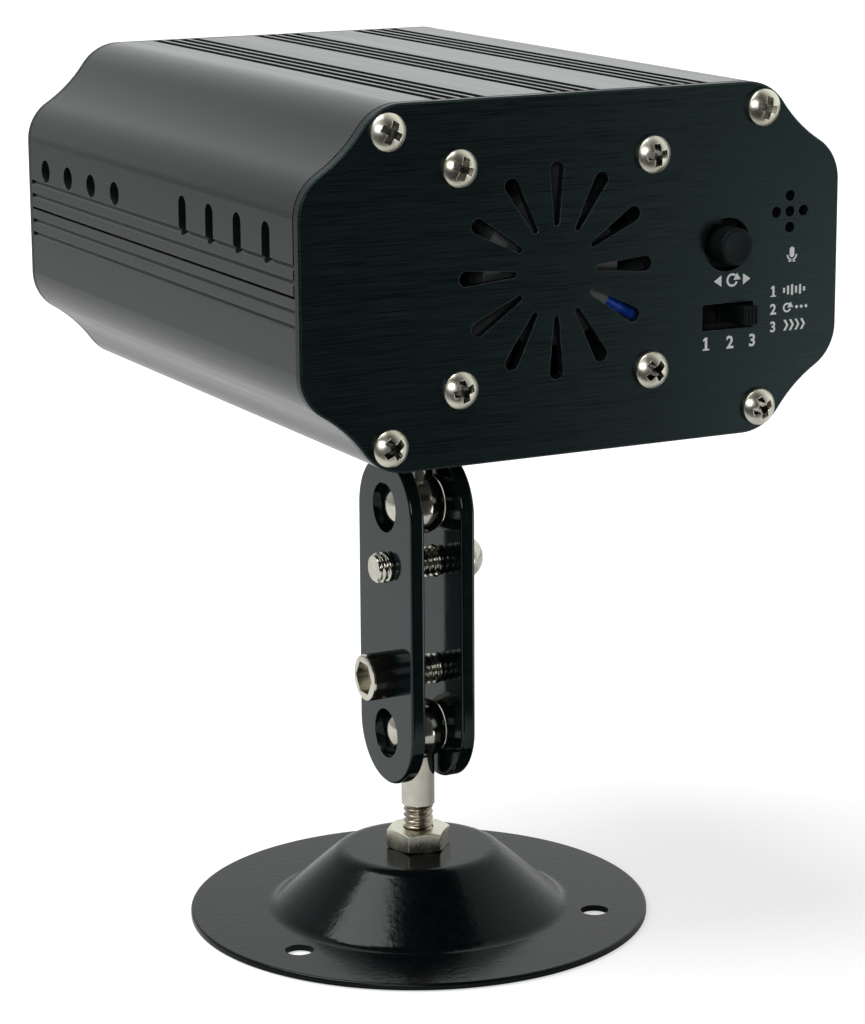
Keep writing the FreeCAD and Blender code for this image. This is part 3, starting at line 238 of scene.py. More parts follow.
def thread_tree():
    """A closed rod whose side is a helical ridge, faded at both ends, along Axis from Start."""
    takes = {
        "Start": "Vector", "Axis": "Vector", "Length": "Float", "Crest radius": "Float",
        "Thread depth": "Float", "Pitch": "Float", "Fade": "Float", "Finish": "Material",
    }
    tree, given, result = new_group("screw_thread", "GeometryNodeTree", takes, {"Rod": "Geometry"})
    length, pitch = given.outputs["Length"], given.outputs["Pitch"]
    columns, per_turn, end_rows = 65, 20.0, 3.0
    steps = calc(tree, "CEIL", calc(tree, "MULTIPLY", calc(tree, "DIVIDE", length, pitch), per_turn))
    rows = calc(tree, "ADD", steps, per_turn + end_rows)
    sheet = {"Size X": 1.0, "Size Y": 1.0, "Vertices X": columns, "Vertices Y": rows}
    grid = add(tree, "GeometryNodeMeshGrid", sheet).outputs["Mesh"]
    place = add(tree, "GeometryNodeInputPosition").outputs[0]
    parts = add(tree, "ShaderNodeSeparateXYZ", {0: place})
    turn = calc(tree, "ADD", parts.outputs[0], 0.5)
    climb = calc(tree, "ADD", parts.outputs[1], 0.5)
    row = calc(tree, "MULTIPLY", climb, calc(tree, "SUBTRACT", rows, 1.0))
    rise = calc(tree, "DIVIDE", calc(tree, "SUBTRACT", row, per_turn + 1.0), per_turn)
    along = calc(tree, "MULTIPLY", calc(tree, "ADD", rise, turn), pitch)
    along = calc(tree, "MINIMUM", calc(tree, "MAXIMUM", along, 0.0), length)
    wave = calc(tree, "COSINE", calc(tree, "MULTIPLY", rise, 2 * math.pi))
    groove = calc(tree, "MULTIPLY", calc(tree, "SUBTRACT", 1.0, wave), 0.5)
    to_end = calc(tree, "MINIMUM", along, calc(tree, "SUBTRACT", length, along))
    near_end = calc(tree, "MINIMUM", calc(tree, "DIVIDE", to_end, given.outputs["Fade"]), 1.0)
    ease = calc(tree, "SUBTRACT", 1.0, near_end)
    sunk = calc(tree, "MULTIPLY", calc(tree, "MAXIMUM", groove, ease), given.outputs["Thread depth"])
    radius = calc(tree, "SUBTRACT", given.outputs["Crest radius"], sunk)
    above_foot = calc(tree, "GREATER_THAN", row, 0.5)
    below_head = calc(tree, "LESS_THAN", row, calc(tree, "SUBTRACT", rows, 1.5))
    radius = calc(tree, "MULTIPLY", radius, calc(tree, "MULTIPLY", above_foot, below_head))
    angle = calc(tree, "MULTIPLY", turn, 2 * math.pi)
    across = calc(tree, "MULTIPLY", radius, calc(tree, "COSINE", angle))
    up = calc(tree, "MULTIPLY", radius, calc(tree, "SINE", angle))
    helix = add(tree, "ShaderNodeCombineXYZ", {0: across, 1: up, 2: along}).outputs[0]
    wrapped = add(tree, "GeometryNodeSetPosition", {"Geometry": grid, "Position": helix}).outputs[0]
    closed = add(tree, "GeometryNodeMergeByDistance", {"Geometry": wrapped, "Distance": hair}).outputs[0]
    axis = given.outputs["Axis"]
    aim = add(tree, "FunctionNodeAlignRotationToVector", {"Vector": axis}, axis="Z").outputs[0]
    move = {"Geometry": closed, "Translation": given.outputs["Start"], "Rotation": aim}
    moved = add(tree, "GeometryNodeTransform", move).outputs[0]
    real = add(tree, "GeometryNodeRealizeInstances", {"Geometry": moved}).outputs[0]
    coat = {"Geometry": real, "Material": given.outputs["Finish"]}
    tree.links.new(add(tree, "GeometryNodeSetMaterial", coat).outputs[0], result.inputs["Rod"])
    return tree


def linked(name, data):
    """A new object of the scene."""
    made = bpy.data.objects.new(name, data)
    bpy.context.scene.collection.objects.link(made)
    return made


def baked(host):
    """The plain mesh that an object's modifiers or curves make; the object itself goes."""
    bpy.context.view_layer.update()
    plain = bpy.data.meshes.new_from_object(host.evaluated_get(bpy.context.evaluated_depsgraph_get()))
    host.modifiers.clear()
    bpy.data.objects.remove(host)
    return plain


def grown(tree, sizes, places=None):
    """The plain mesh that a node tree makes from its named sizes, on a mesh of places if it takes one."""
    host = linked("host", places or bpy.data.meshes.new("host"))
    modifier = host.modifiers.new("grow", "NODES")
    modifier.node_group = tree
    for socket in tree.interface.items_tree:
        if socket.in_out == "INPUT" and socket.name in sizes:
            modifier[socket.identifier] = sizes[socket.name]
    return baked(host)


corner_angle = math.radians(32)


def piece(name, mesh, material, body, slot, *stands_for):
    """Turn a bmesh into a finished piece: smooth but for its corners, riding on a body."""
    bmesh.ops.recalc_face_normals(mesh, faces=mesh.faces)
    plain = bpy.data.meshes.new(name)
    mesh.to_mesh(plain)
    mesh.free()
    plain.shade_smooth()
    plain.set_sharp_from_angle(angle=corner_angle)
    plain.materials.clear()
    plain.materials.append(material)
    made = linked(name, plain)
    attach(made, body)
    if stands_for:
        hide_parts(*stands_for)
    return made


def recoat(made, material, chosen):
    """Give a second material to the faces of a piece that a test picks."""
    made.data.materials.append(material)
    for facet in made.data.polygons:
        if chosen(facet):
            facet.material_index = 1


nickel = finish(
    "bright_nickel", (0.52, 0.50, 0.42), (0.74, 0.72, 0.63), 0.09, 0.20, 420,
    relief=0.005 * mm, Metallic=1.0,
)
oiled_nickel = finish(
    "oiled_nickel", (0.27, 0.24, 0.19), (0.48, 0.44, 0.36), 0.18, 0.32, 420,
    relief=0.005 * mm, Metallic=1.0,
)
screw_thread = thread_tree()
thread_pitch = 1.0 * mm
thread_depth = 0.42 * mm
collar_radius = 2.75 * mm
collar_reach = 13.0 * mm
stud_crest = 2.45 * mm
stud_fade = 0.5 * mm


def ball_stud(name, node, direction):
    """Ball, neck, collar with an eased end and screw-cut tail, drawn along Z from the ball's centre."""
    low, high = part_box(node)
    ball = (high.x - low.x) / 2
    centre = high.z - ball if direction < 0 else low.z + ball
    tail = (high.z - low.z) - ball
    neck = math.degrees(math.asin(collar_radius / ball))
    ease, ball_steps = 0.2 * mm, 40
    steps = arc_steps(0, ball, 180, neck, ball_steps)
    steps += [(collar_radius, collar_reach - ease), (collar_radius - ease, collar_reach)]
    steps += [(0, collar_reach)]
    mesh = bmesh.new()
    turned(mesh, steps, (0, 0, centre), (0, 0, direction))
    rod = grown(screw_thread, {
        "Start": (0, 0, centre + direction * (collar_reach - ease)), "Axis": (0, 0, direction),
        "Length": tail - collar_reach + ease, "Crest radius": stud_crest, "Thread depth": thread_depth,
        "Pitch": thread_pitch, "Fade": stud_fade, "Finish": oiled_nickel,
    })
    mesh.from_mesh(rod)
    stud = piece(name, mesh, nickel, name, "nickel_plate", node)
    recoat(stud, oiled_nickel, lambda facet: abs(facet.center.z - centre) > collar_reach)


ball_stud("lower_stud", "lower_ball_stud", -1)
dull_nickel = finish(
    "dull_nickel", (0.66, 0.63, 0.51), (0.88, 0.85, 0.73), 0.22, 0.38, 420,
    relief=0.006 * mm, edge=(0.18 * mm, (0.92, 0.91, 0.84)), Metallic=1.0,
)
dress(dull_nickel, "lower_lock_nut")


# Arm plates
# Two punched steel plates that squeeze both balls, with round ends and eased edges.
# Sprayed a deeper, smoother gloss black than the base.

# The edge colour is painted highlight along the plates' eased edges.
arm_paint = finish(
    "arm_paint", (0.0020, 0.0045, 0.0050), (0.0040, 0.0080, 0.0088), 0.05, 0.11, 500,
    relief=0.004 * mm, edge=(0.10 * mm, (0.010, 0.015, 0.016)), Specular_IOR_Level=0.38,
    Specular_Tint=(0.80, 1.0, 0.98, 1.0),
)
dress(arm_paint, "arm_plate_left", "arm_plate_right")


# Upper clamp screw
# A machine screw through both plates: tall domed cross-recessed head on the right, bare end on the left.
# Steel with a rolled thread, nickel plated, screwed into the left plate.

def dome_steps(radius, edge, height, count=14):
    """Steps over a ball-shaped cap from its rim to the axis."""
    rise = height - edge
    ball = (radius ** 2 + rise ** 2) / (2 * rise)
    half = math.degrees(math.asin(min(1.0, radius / ball)))
    return arc_steps(height - ball, ball, half, 0, count)


def cut_away(mesh, cutter):
    """Take one closed mesh out of another."""
    hosts = []
    for shape in (mesh, cutter):
        bmesh.ops.recalc_face_normals(shape, faces=shape.faces)
        plain = bpy.data.meshes.new("cut")
        shape.to_mesh(plain)
        shape.free()
        hosts.append(linked("cut", plain))
    body, tool = hosts
    knife = body.modifiers.new("cut", "BOOLEAN")
    knife.operation, knife.solver, knife.object = "DIFFERENCE", "EXACT", tool
    result = bmesh.new()
    result.from_mesh(baked(body))
    bpy.data.objects.remove(tool)
    return result


def clamp_screw(node, sign, head_steps, head_height, cutter):
    """A screw along X with its head's seat on one plate, and the thread that leaves it."""
    low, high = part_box(node)
    z = (low.z + high.z) / 2
    seat = high.x - head_height if sign > 0 else low.x + head_height
    length = (high.x - low.x) - head_height
    mesh = bmesh.new()
    turned(mesh, head_steps, (seat, 0, z), (sign, 0, 0))
    mesh = cut_away(mesh, cutter(seat, z))
    rod = grown(screw_thread, {
        "Start": (seat + sign * clamp_root, 0, z), "Axis": (-sign, 0, 0), "Length": length + clamp_root,
        "Crest radius": clamp_crest, "Thread depth": thread_depth, "Pitch": thread_pitch,
        "Fade": clamp_fade, "Finish": nickel,
    })
    mesh.from_mesh(rod)
    return mesh


clamp_crest, clamp_fade, clamp_root = 2.5 * mm, 0.45 * mm, 0.2 * mm
upper_head_radius, upper_head_edge, upper_head_height = 3.85 * mm, 2.5 * mm, 6.0 * mm
cross_span, cross_width, cross_depth = 4.2 * mm, 1.0 * mm, 2.0 * mm


def upper_cross(seat, z):
    """The cutter of a cross recess in the domed head: a cross-shaped bar half sunk in it."""
    cutter = bmesh.new()
    tip, side = cross_span / 2, cross_width / 2
    quarter = [Vector((side, side)), Vector((side, tip)), Vector((-side, tip))]
    cross = [Matrix.Rotation(math.radians(90 * k), 2) @ corner for k in range(4) for corner in quarter]
    levels = (seat + upper_head_height - cross_depth, seat + upper_head_height + cross_depth)
    ends = [[cutter.verts.new((x, corner.x, z + corner.y)) for corner in cross] for x in levels]
    for end in ends:
        cutter.faces.new(end)
    for k in range(len(cross)):
        cutter.faces.new((ends[0][k - 1], ends[0][k], ends[1][k], ends[1][k - 1]))
    return cutter


upper_steps = [(0, 0), (upper_head_radius, 0)]
upper_steps += dome_steps(upper_head_radius, upper_head_edge, upper_head_height)
upper_screw = clamp_screw("upper_clamp_screw", 1, upper_steps, upper_head_height, upper_cross)
piece("upper_clamp", upper_screw, nickel, "upper_clamp", "nickel_plate", "upper_clamp_screw")


# Lower clamp screw
# A socket cap screw with its head on the left plate, turned by a hexagon key from the side.
# Steel, blackened along the head's side; its rim, its end face and its thread are bright nickel.

cap_radius, cap_height, cap_ease, ease_share = 3.85 * mm, 4.0 * mm, 0.45 * mm, 0.3
socket_flats, socket_depth = 5.0 * mm, 2.8 * mm


def hex_socket(seat, z):
    """The cutter of the key's socket: a hexagon bar half sunk in the head's end."""
    cutter = bmesh.new()
    corner = socket_flats / math.sqrt(3)
    mouth = Matrix.Translation((seat - cap_height, 0, z)) @ Matrix.Rotation(math.pi / 2, 4, "Y")
    bmesh.ops.create_cone(
        cutter, cap_ends=True, segments=6, radius1=corner, radius2=corner, depth=2 * socket_depth,
        matrix=mouth,
    )
    return cutter


cap_steps = [(0, 0), (cap_radius, 0), (cap_radius, cap_height - cap_ease)]
cap_steps += [(cap_radius - cap_ease * ease_share, cap_height - cap_ease * ease_share)]
cap_steps += [(cap_radius - cap_ease, cap_height), (0, cap_height)]
lower_screw = clamp_screw("lower_clamp_screw", -1, cap_steps, cap_height, hex_socket)
cap_screw = piece("lower_clamp", lower_screw, nickel, "lower_clamp", "nickel_plate", "lower_clamp_screw")
blackened = finish(
    "blackened_steel", (0.010, 0.010, 0.009), (0.026, 0.026, 0.023), 0.10, 0.20, 420,
    relief=0.004 * mm, Metallic=0.6,
)
cap_low, cap_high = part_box("lower_clamp_screw")
cap_axis = (cap_low.z + cap_high.z) / 2


def on_cap_side(facet):
    """Whether a face lies on the head's side, short of its eased rim."""
    reach = math.hypot(facet.center.y, facet.center.z - cap_axis)
    most_slope, side_share = 0.1, 0.9
    outer = abs(facet.normal.x) < most_slope and reach > side_share * cap_radius
    return outer and facet.center.x > cap_low.x + cap_ease


recoat(cap_screw, blackened, on_cap_side)


# Upper ball stud and its lock nut
# The same turned stud the other way up, screwed into the housing's floor.
# Nickel plated, and locked against the housing by its own hexagon nut.

ball_stud("upper_stud", "upper_ball_stud", 1)
dress(dull_nickel, "upper_lock_nut")


# Lower shell and its threaded insert
# The bottom half of the extruded aluminium housing, with die lines along its length.
# Satin black anodised; a zinc plated hexagon insert on its floor takes the upper stud.

anodised = finish(
    "satin_black_anodised", (0.006, 0.0078, 0.0072), (0.011, 0.0135, 0.0125), 0.16, 0.24, (1600, 40, 1600),
    relief=0.003 * mm, edge=(0.10 * mm, (0.06, 0.063, 0.062)), Specular_IOR_Level=0.5,
    Specular_Tint=(0.92, 1.0, 0.95, 1.0),
)
dress(anodised, "lower_shell")
dress(zinc, "mount_insert")


# Main board and what is soldered to it
# A green glass-fibre board slid into the lower shell's rails, with solder mask over its tracks.
# It carries a pin header, a driver chip, two sleeved capacitors and the sockets of the leads.

board_green = finish(
    "solder_mask", (0.010, 0.075, 0.030), (0.025, 0.160, 0.070), 0.28, 0.42, (700, 160, 700),
    relief=0.01 * mm,
)
chip_black = finish(
    "moulded_black", (0.014, 0.014, 0.015), (0.026, 0.026, 0.027), 0.42, 0.62, 1800,
    relief=0.01 * mm, edge=(0.15 * mm, (0.05, 0.05, 0.05)),
)
sleeve = finish(
    "capacitor_sleeve", (0.02, 0.03, 0.07), (0.04, 0.06, 0.12), 0.22, 0.34, 600,
    relief=0.004 * mm,
)
white_nylon = finish(
    "white_nylon", (0.70, 0.69, 0.64), (0.84, 0.83, 0.79), 0.42, 0.58, 900, relief=0.006 * mm,
)
red_lead = finish(
    "red_insulation", (0.45, 0.02, 0.02), (0.65, 0.04, 0.03), 0.35, 0.5, 900, relief=0.004 * mm,
)
dress(board_green, "main_board", "control_board")
dress(chip_black, "driver_chip", "board_header")
dress(sleeve, "capacitors")
dress(white_nylon, "lead_sockets")
dress(red_lead, "optics_leads", "inlet_leads")


# Optics
# A machined aluminium block, screwed to the floor, that holds two brass laser barrels and a small motor.
# The motor's nylon pinion turns two nylon wheels with diffraction film in their middles.

aluminium = finish(
    "milled_aluminium", (0.60, 0.61, 0.62), (0.76, 0.77, 0.78), 0.24, 0.40, (60, 1800, 1800),
    relief=0.004 * mm, edge=(0.15 * mm, (0.88, 0.88, 0.88)), Metallic=1.0,
)
brass = finish(
    "turned_brass", (0.62, 0.44, 0.18), (0.80, 0.62, 0.30), 0.18, 0.32, (1500, 90, 1500),
    relief=0.003 * mm, Metallic=1.0,
)
bronze = finish(
    "sintered_bronze", (0.45, 0.30, 0.14), (0.62, 0.44, 0.22), 0.38, 0.55, 2200,
    relief=0.006 * mm, Metallic=1.0,
)
film = finish(
    "grating_film", (0.86, 0.90, 0.95), (0.92, 0.95, 0.98), 0.06, 0.14, 300,
    Transmission_Weight=1.0, IOR=1.45, Thin_Film_Thickness=420.0, Thin_Film_IOR=1.8,
)
dress(aluminium, "optics_block")
dress(brass, "red_laser", "green_laser")
dress(zinc, "optics_block_screws", "laser_grub_screws", "grating_motor", "motor_shaft", "wheel_clips")
dress(white_nylon, "motor_pinion", "grating_wheel_left", "grating_wheel_right")
dress(film, "grating_film_left", "grating_film_right")


# Front panel, its windows and the power inlet
# An aluminium plate brushed along its width and dyed black, with a pale line painted along its edges as a
# highlight.
# Two anodised bezels hold the glass that the beams leave by; a moulded barrel socket takes the supply.

# The pale edge colour is painted highlight: the bright line along the panel's chamfered edges.
brushed = finish(
    "brushed_black", (0.0012, 0.0024, 0.0026), (0.0098, 0.0168, 0.0178), 0.20, 0.41, (115, 115, 5400),
    relief=0.006 * mm, edge=(0.14 * mm, (0.34, 0.33, 0.30)), clouds=0.25, Specular_IOR_Level=0.21,
    Anisotropic=0.7, Anisotropic_Rotation=0.25, Specular_Tint=(0.62, 0.97, 1.0, 1.0),
)
glass = finish(
    "window_glass", (0.93, 0.96, 0.96), (0.97, 0.99, 0.99), 0.01, 0.05, 80,
    Transmission_Weight=1.0, IOR=1.5,
)
dress(brushed, "front_panel", "rear_panel")
dress(anodised, "window_bezel_left", "window_bezel_right")
dress(glass, "window_glass_left", "window_glass_right")
dress(chip_black, "power_inlet")
dress(nickel, "power_inlet_nut")
strokes = add(brushed.node_tree, "ShaderNodeTangent", None, direction_type="RADIAL", axis="Z")
brushed_shader = brushed.node_tree.nodes["Principled BSDF"]
brushed.node_tree.links.new(strokes.outputs[0], brushed_shader.inputs["Tangent"])


# Fan
# A 40 mm axial fan screwed behind the grille: moulded frame and rotor, wound stator, oiled bronze bearing.
# Two insulated leads run out along one strut, and a bare grey label covers the hub.

fan_plastic = finish(
    "fan_plastic", (0.040, 0.044, 0.046), (0.066, 0.071, 0.074), 0.36, 0.52, 1400,
    relief=0.008 * mm, edge=(0.15 * mm, (0.06, 0.062, 0.064)),
)
copper = finish(
    "enamelled_copper", (0.40, 0.16, 0.07), (0.72, 0.36, 0.18), 0.2, 0.35, (200, 6000, 200),
    relief=0.02 * mm, Metallic=1.0,
)
blue_lead = finish(
    "blue_insulation", (0.006, 0.045, 0.36), (0.014, 0.085, 0.55), 0.22, 0.36, 800,
    relief=0.004 * mm,
)
white_lead = finish(
    "white_insulation", (0.62, 0.64, 0.66), (0.80, 0.81, 0.82), 0.3, 0.45, 800,
    relief=0.004 * mm,
)
label_film = finish(
    "grey_label", (0.036, 0.041, 0.043), (0.056, 0.062, 0.064), 0.34, 0.46, 900,
    relief=0.003 * mm,
)
dress(fan_plastic, "fan_frame", "fan_rotor")
dress(copper, "fan_stator")
dress(bronze, "fan_bearing")
dress(zinc, "fan_shaft", "fan_nuts", "control_board_nuts")
dress(blue_lead, "fan_lead_blue")
dress(white_lead, "fan_lead_white")
shaft_low, shaft_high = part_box("fan_shaft")
hub_set_back = 0.3 * mm
hub_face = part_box("fan_frame")[0].y + hub_set_back
label_radius, label_edge, label_thickness = 10.9 * mm, 0.04 * mm, 0.08 * mm
label = bmesh.new()
label_steps = [(0, 0), (label_radius, 0), (label_radius, label_thickness - label_edge)]
label_steps += [(label_radius - label_edge, label_thickness), (0, label_thickness)]
hub_middle = ((shaft_low.x + shaft_high.x) / 2, hub_face, (shaft_low.z + shaft_high.z) / 2)
turned(label, label_steps, hub_middle, (0, -1, 0), around=96)
piece("fan_label", label, label_film, "housing", "white_plastic")


# Control board's pieces
# Brass spacers hold the board off the panel; the push switch and the slide switch are moulded in black.
# The microphone's capsule is faced with black felt behind its five small holes.

felt = finish(
    "black_felt", (0.010, 0.010, 0.011), (0.030, 0.030, 0.031), 0.80, 0.95, 5000,
    relief=0.03 * mm, Specular_IOR_Level=0.15,
)
dress(brass, "control_board_spacers")
dress(chip_black, "mode_switch", "slide_switch")
dress(felt, "microphone")


# Mode button
# A black moulded cap with a softly rounded rim and a dished face.
# Its stem presses the switch on the board, whose spring brings it back.

# The lighter edge colour is painted highlight on the cap's rim.
cap_plastic = finish(
    "satin_button", (0.003, 0.0048, 0.0048), (0.007, 0.0100, 0.0100), 0.40, 0.55, 1500,
    relief=0.005 * mm, edge=(0.12 * mm, (0.04, 0.046, 0.046)), Specular_IOR_Level=0.13,
    Specular_Tint=(0.75, 1.0, 1.0, 1.0),
)
button_low, button_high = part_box("mode_button")
button_radius = (button_high.x - button_low.x) / 2
button_depth = button_high.y - button_low.y
press_room = 1.8 * mm
cap_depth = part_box("mode_switch")[0].y - press_room - button_low.y
stem_radius = 1.5 * mm
rim_round = 0.35 * mm
dish = 0.10 * mm
dish_profile = ((0, 1), (0.5, 0.75), (0.78, 0.15))
rim_steps = 6
button_steps = [(button_radius * reach, dish * depth) for reach, depth in dish_profile]
button_steps += [(button_radius - rim_round, 0)]
for k in range(1, rim_steps + 1):
    angle = math.radians(90 * k / rim_steps)
    inward, back = rim_round * (1 - math.sin(angle)), rim_round * (1 - math.cos(angle))
    button_steps.append((button_radius - inward, back))
button_steps += [(button_radius, cap_depth), (stem_radius, cap_depth)]
button_steps += [(stem_radius, button_depth), (0, button_depth)]
button_middle = (button_low + button_high) / 2
button = bmesh.new()
turned(button, button_steps, (button_middle.x, button_low.y, button_middle.z), (0, 1, 0))
piece("mode_cap", button, cap_plastic, "button", "gloss_black", "mode_button")


# Slide switch knob
# A small black moulded block that stands out of its slot, with finger ribs across its end.
# Its flange runs in the switch's chamber and clicks into three places.

def rib_tree():
    """A row of half-sunk round ribs along X, centred on Middle, their length along Z."""
    takes = {
        "Middle": "Vector", "Count": "Int", "Pitch": "Float", "Rib radius": "Float", "Rib length": "Float",
        "Finish": "Material",
    }
    tree, given, result = new_group("finger_ribs", "GeometryNodeTree", takes, {"Ribs": "Geometry"})
    size, rib_sides = given.outputs, 20
    rib = {"Vertices": rib_sides, "Radius": size["Rib radius"], "Depth": size["Rib length"]}
    bar = add(tree, "GeometryNodeMeshCylinder", rib).outputs["Mesh"]
    gaps = calc(tree, "SUBTRACT", size["Count"], 1.0)
    back = calc(tree, "MULTIPLY", calc(tree, "MULTIPLY", gaps, size["Pitch"]), -0.5)
    first = add(tree, "ShaderNodeCombineXYZ", {0: back}).outputs[0]
    start = add(tree, "ShaderNodeVectorMath", {0: size["Middle"], 1: first}, operation="ADD").outputs[0]
    step = add(tree, "ShaderNodeCombineXYZ", {0: size["Pitch"]}).outputs[0]
    row = {"Count": size["Count"], "Start Location": start, "Offset": step}
    line = add(tree, "GeometryNodeMeshLine", row, mode="OFFSET").outputs["Mesh"]
    set_out = add(tree, "GeometryNodeInstanceOnPoints", {"Points": line, "Instance": bar}).outputs[0]
    real = add(tree, "GeometryNodeRealizeInstances", {"Geometry": set_out}).outputs[0]
    coat = {"Geometry": real, "Material": size["Finish"]}
    tree.links.new(add(tree, "GeometryNodeSetMaterial", coat).outputs[0], result.inputs["Ribs"])
    return tree


knob_low, knob_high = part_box("switch_knob")
knob_middle = (knob_low + knob_high) / 2
knob_width, knob_tall, knob_round = 2.5 * mm, 2.9 * mm, 0.22 * mm
flange_thick, rib_radius, rib_pitch, rib_count = 1.2 * mm, 0.22 * mm, 0.62 * mm, 4
neck_front, neck_back = knob_low.y + rib_radius, knob_high.y - flange_thick
knob = bmesh.new()
blocks = (
    (knob_width, neck_front, neck_back, knob_tall),
    (knob_high.x - knob_low.x, neck_back, knob_high.y, knob_high.z - knob_low.z),
)
for across, front, back, tall in blocks:
    middle = Matrix.Translation((knob_middle.x, (front + back) / 2, knob_middle.z))
    size = Matrix.Diagonal((across, back - front, tall, 1))
    block = bmesh.ops.create_cube(knob, size=1.0, matrix=middle @ size)["verts"]
    edges = list({edge for corner in block for edge in corner.link_edges})
    bmesh.ops.bevel(knob, geom=edges, offset=knob_round, segments=3, profile=0.5, affect="EDGES")
knob_ribs = grown(rib_tree(), {
    "Middle": (knob_middle.x, neck_front, knob_middle.z), "Count": rib_count, "Pitch": rib_pitch,
    "Rib radius": rib_radius, "Rib length": knob_tall - 2 * knob_round, "Finish": cap_plastic,
})
knob.from_mesh(knob_ribs)
piece("slide_knob", knob, cap_plastic, "knob", "gloss_black", "switch_knob")


# Upper shell
# The top half of the extrusion, with three bands of fine grooves along it and a row of vents in each side.
# Satin black anodised like the lower half, which it hooks over, and cut a little shorter.

dress(anodised, "upper_shell")


# Printed marks
# White screen-printed figures on the control plate: plain digits for the switch's three places.
# Small signs stand by the button, the microphone and each digit: a turning arrow, a microphone, bars.

ink = finish(
    "white_ink", (0.80, 0.82, 0.81), (0.92, 0.93, 0.92), 0.5, 0.66, 2500, relief=0.004 * mm,
)
ink_height, bold = 0.03 * mm, 0.025
panel_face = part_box("rear_panel")[0].y
housing_middle = (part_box("rear_panel")[0].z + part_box("rear_panel")[1].z) / 2
marks = bmesh.new()


def print_digit(character, x, z, height):
    """A bold figure with its middle at x and its foot at z, millimetres about the panel's centre."""
    curve = bpy.data.curves.new("digit", "FONT")
    curve.body, curve.align_x = character, "CENTER"
    curve.size, curve.extrude, curve.offset = 1.0, 0.5, bold
    flat = baked(linked("digit", curve))
    tall = max(v.co.y for v in flat.vertices) - min(v.co.y for v in flat.vertices)
    scale = height * mm / tall
    stand = Matrix.Translation((x * mm, panel_face - ink_height / 2, housing_middle + z * mm))
    upright = stand @ Matrix.Rotation(math.pi / 2, 4, "X")
    flat.transform(upright @ Matrix.Diagonal((scale, scale, ink_height, 1)))
    marks.from_mesh(flat)


def print_patch(outline):
    """A flat patch of ink inside an outline of (x, z) points, millimetres about the panel's centre."""
    back = [marks.verts.new((x * mm, panel_face, housing_middle + z * mm)) for x, z in outline]
    front = [marks.verts.new((v.co.x, panel_face - ink_height, v.co.z)) for v in back]
    marks.faces.new(back)
    marks.faces.new(front[::-1])
    for k in range(len(outline)):
        marks.faces.new((back[k - 1], back[k], front[k], front[k - 1]))


def print_bar(x, low, high, width):
    """An upright bar of ink."""
    left, right = x - width / 2, x + width / 2
    print_patch([(left, low), (right, low), (right, high), (left, high)])


def print_arc(x, z, radius, width, start, stop):
    """A curved stroke about a point, angles in degrees from the panel's right."""
    steps = 24
    angles = [math.radians(start + (stop - start) * k / steps) for k in range(steps + 1)]
    out, back = radius + width / 2, radius - width / 2
    outline = [(x + out * math.cos(a), z + out * math.sin(a)) for a in angles]
    outline += [(x + back * math.cos(a), z + back * math.sin(a)) for a in angles[::-1] if back > 0]
    print_patch(outline)


def print_turning_arrow(x, z, radius, width):
    """An open ring with an arrow's head at its end."""
    ring_start, ring_end, head_share, head_reach = 50, 340, 1.9, 1.6
    print_arc(x, z, radius, width, ring_start, ring_end)
    tip = head_share * width
    print_patch([(x + radius - tip, z), (x + radius + tip, z), (x + radius, z + head_reach * tip)])


def print_one(x, z, height):
    """The figure one, with a flag and a foot."""
    stem, foot, flag, top = 0.11 * height, 0.30 * height, 0.26 * height, z + height
    print_bar(x, z + stem, top, 2 * stem)
    print_bar(x, z, z + stem, 2 * foot)
    upper, lower = (x - stem, top), (x - stem, top - 0.20 * height)
    print_patch([upper, (x - flag, top - 0.16 * height), (x - flag, top - 0.30 * height), lower])


def print_figures(places, height):
    """The figures one, two and three, each at its (x, z) place."""
    first, second, third = places
    print_one(*first, height)
    print_digit("2", *second, height)
    print_digit("3", *third, height)


slide_row, slide_height, slide_places = -13.2, 1.95, (21.8, 26.0, 29.95)
first_row, row_pitch, row_height, row_x = -6.05, 2.67, 1.65, 33.6
print_figures([(x, slide_row) for x in slide_places], slide_height)
print_figures([(row_x, first_row - k * row_pitch) for k in range(3)], row_height)
sign_x = row_x + 1.9
bar_shares, bar_pitch, bar_width = (0.45, 0.8, 1.0, 0.65, 0.9, 0.4), 0.72, 0.36
for k, share in enumerate(bar_shares):
    middle, half = first_row + row_height / 2, share * row_height / 2
    print_bar(sign_x + bar_pitch * k, middle - half, middle + half, bar_width)
second_row = first_row - row_pitch + row_height / 2
arrow_x, arrow_radius, arrow_stroke = row_x + 2.5, 0.6, 0.28
print_turning_arrow(arrow_x, second_row, arrow_radius, arrow_stroke)
dot_x, dot_pitch, dot_width, dot_end = row_x + 4.2, 0.85, 0.5, 345
for k in range(3):
    print_arc(dot_x + dot_pitch * k, second_row, 0, dot_width, 0, dot_end)
chevron = [(0, 0), (0.4, 0), (0.9, 0.5), (0.4, 1), (0, 1), (0.5, 0.5)]
chevron_pitch = 1.0
for k in range(4):
    x, z = sign_x + chevron_pitch * k, first_row - 2 * row_pitch
    print_patch([(x + across, z + up * row_height) for across, up in chevron])
mode_x, mode_z, mode_radius, mode_stroke = 26.25, -2.9, 0.85, 0.34
pointer_x, pointer_reach = 1.9, 1.3
print_turning_arrow(mode_x, mode_z, mode_radius, mode_stroke)
for side in (-1, 1):
    x = mode_x + side * pointer_x
    tip = (x + side * pointer_reach, mode_z)
    print_patch([(x, mode_z - mode_radius), tip, (x, mode_z + mode_radius)])
mic_x, mic_z, mic_width, mic_tall = 36.8, 0.15, 0.84, 0.75
cradle_radius, cradle_stroke = 0.8, 0.24
post_top, post_width, foot_top, foot_width, foot_drop = 0.7, 0.26, 0.88, 1.2, 1.1
print_bar(mic_x, mic_z, mic_z + mic_tall, mic_width)
print_arc(mic_x, mic_z + mic_tall, 0, mic_width, 0, 180)
print_arc(mic_x, mic_z, 0, mic_width, 180, 360)
print_arc(mic_x, mic_z, cradle_radius, cradle_stroke, 180, 360)
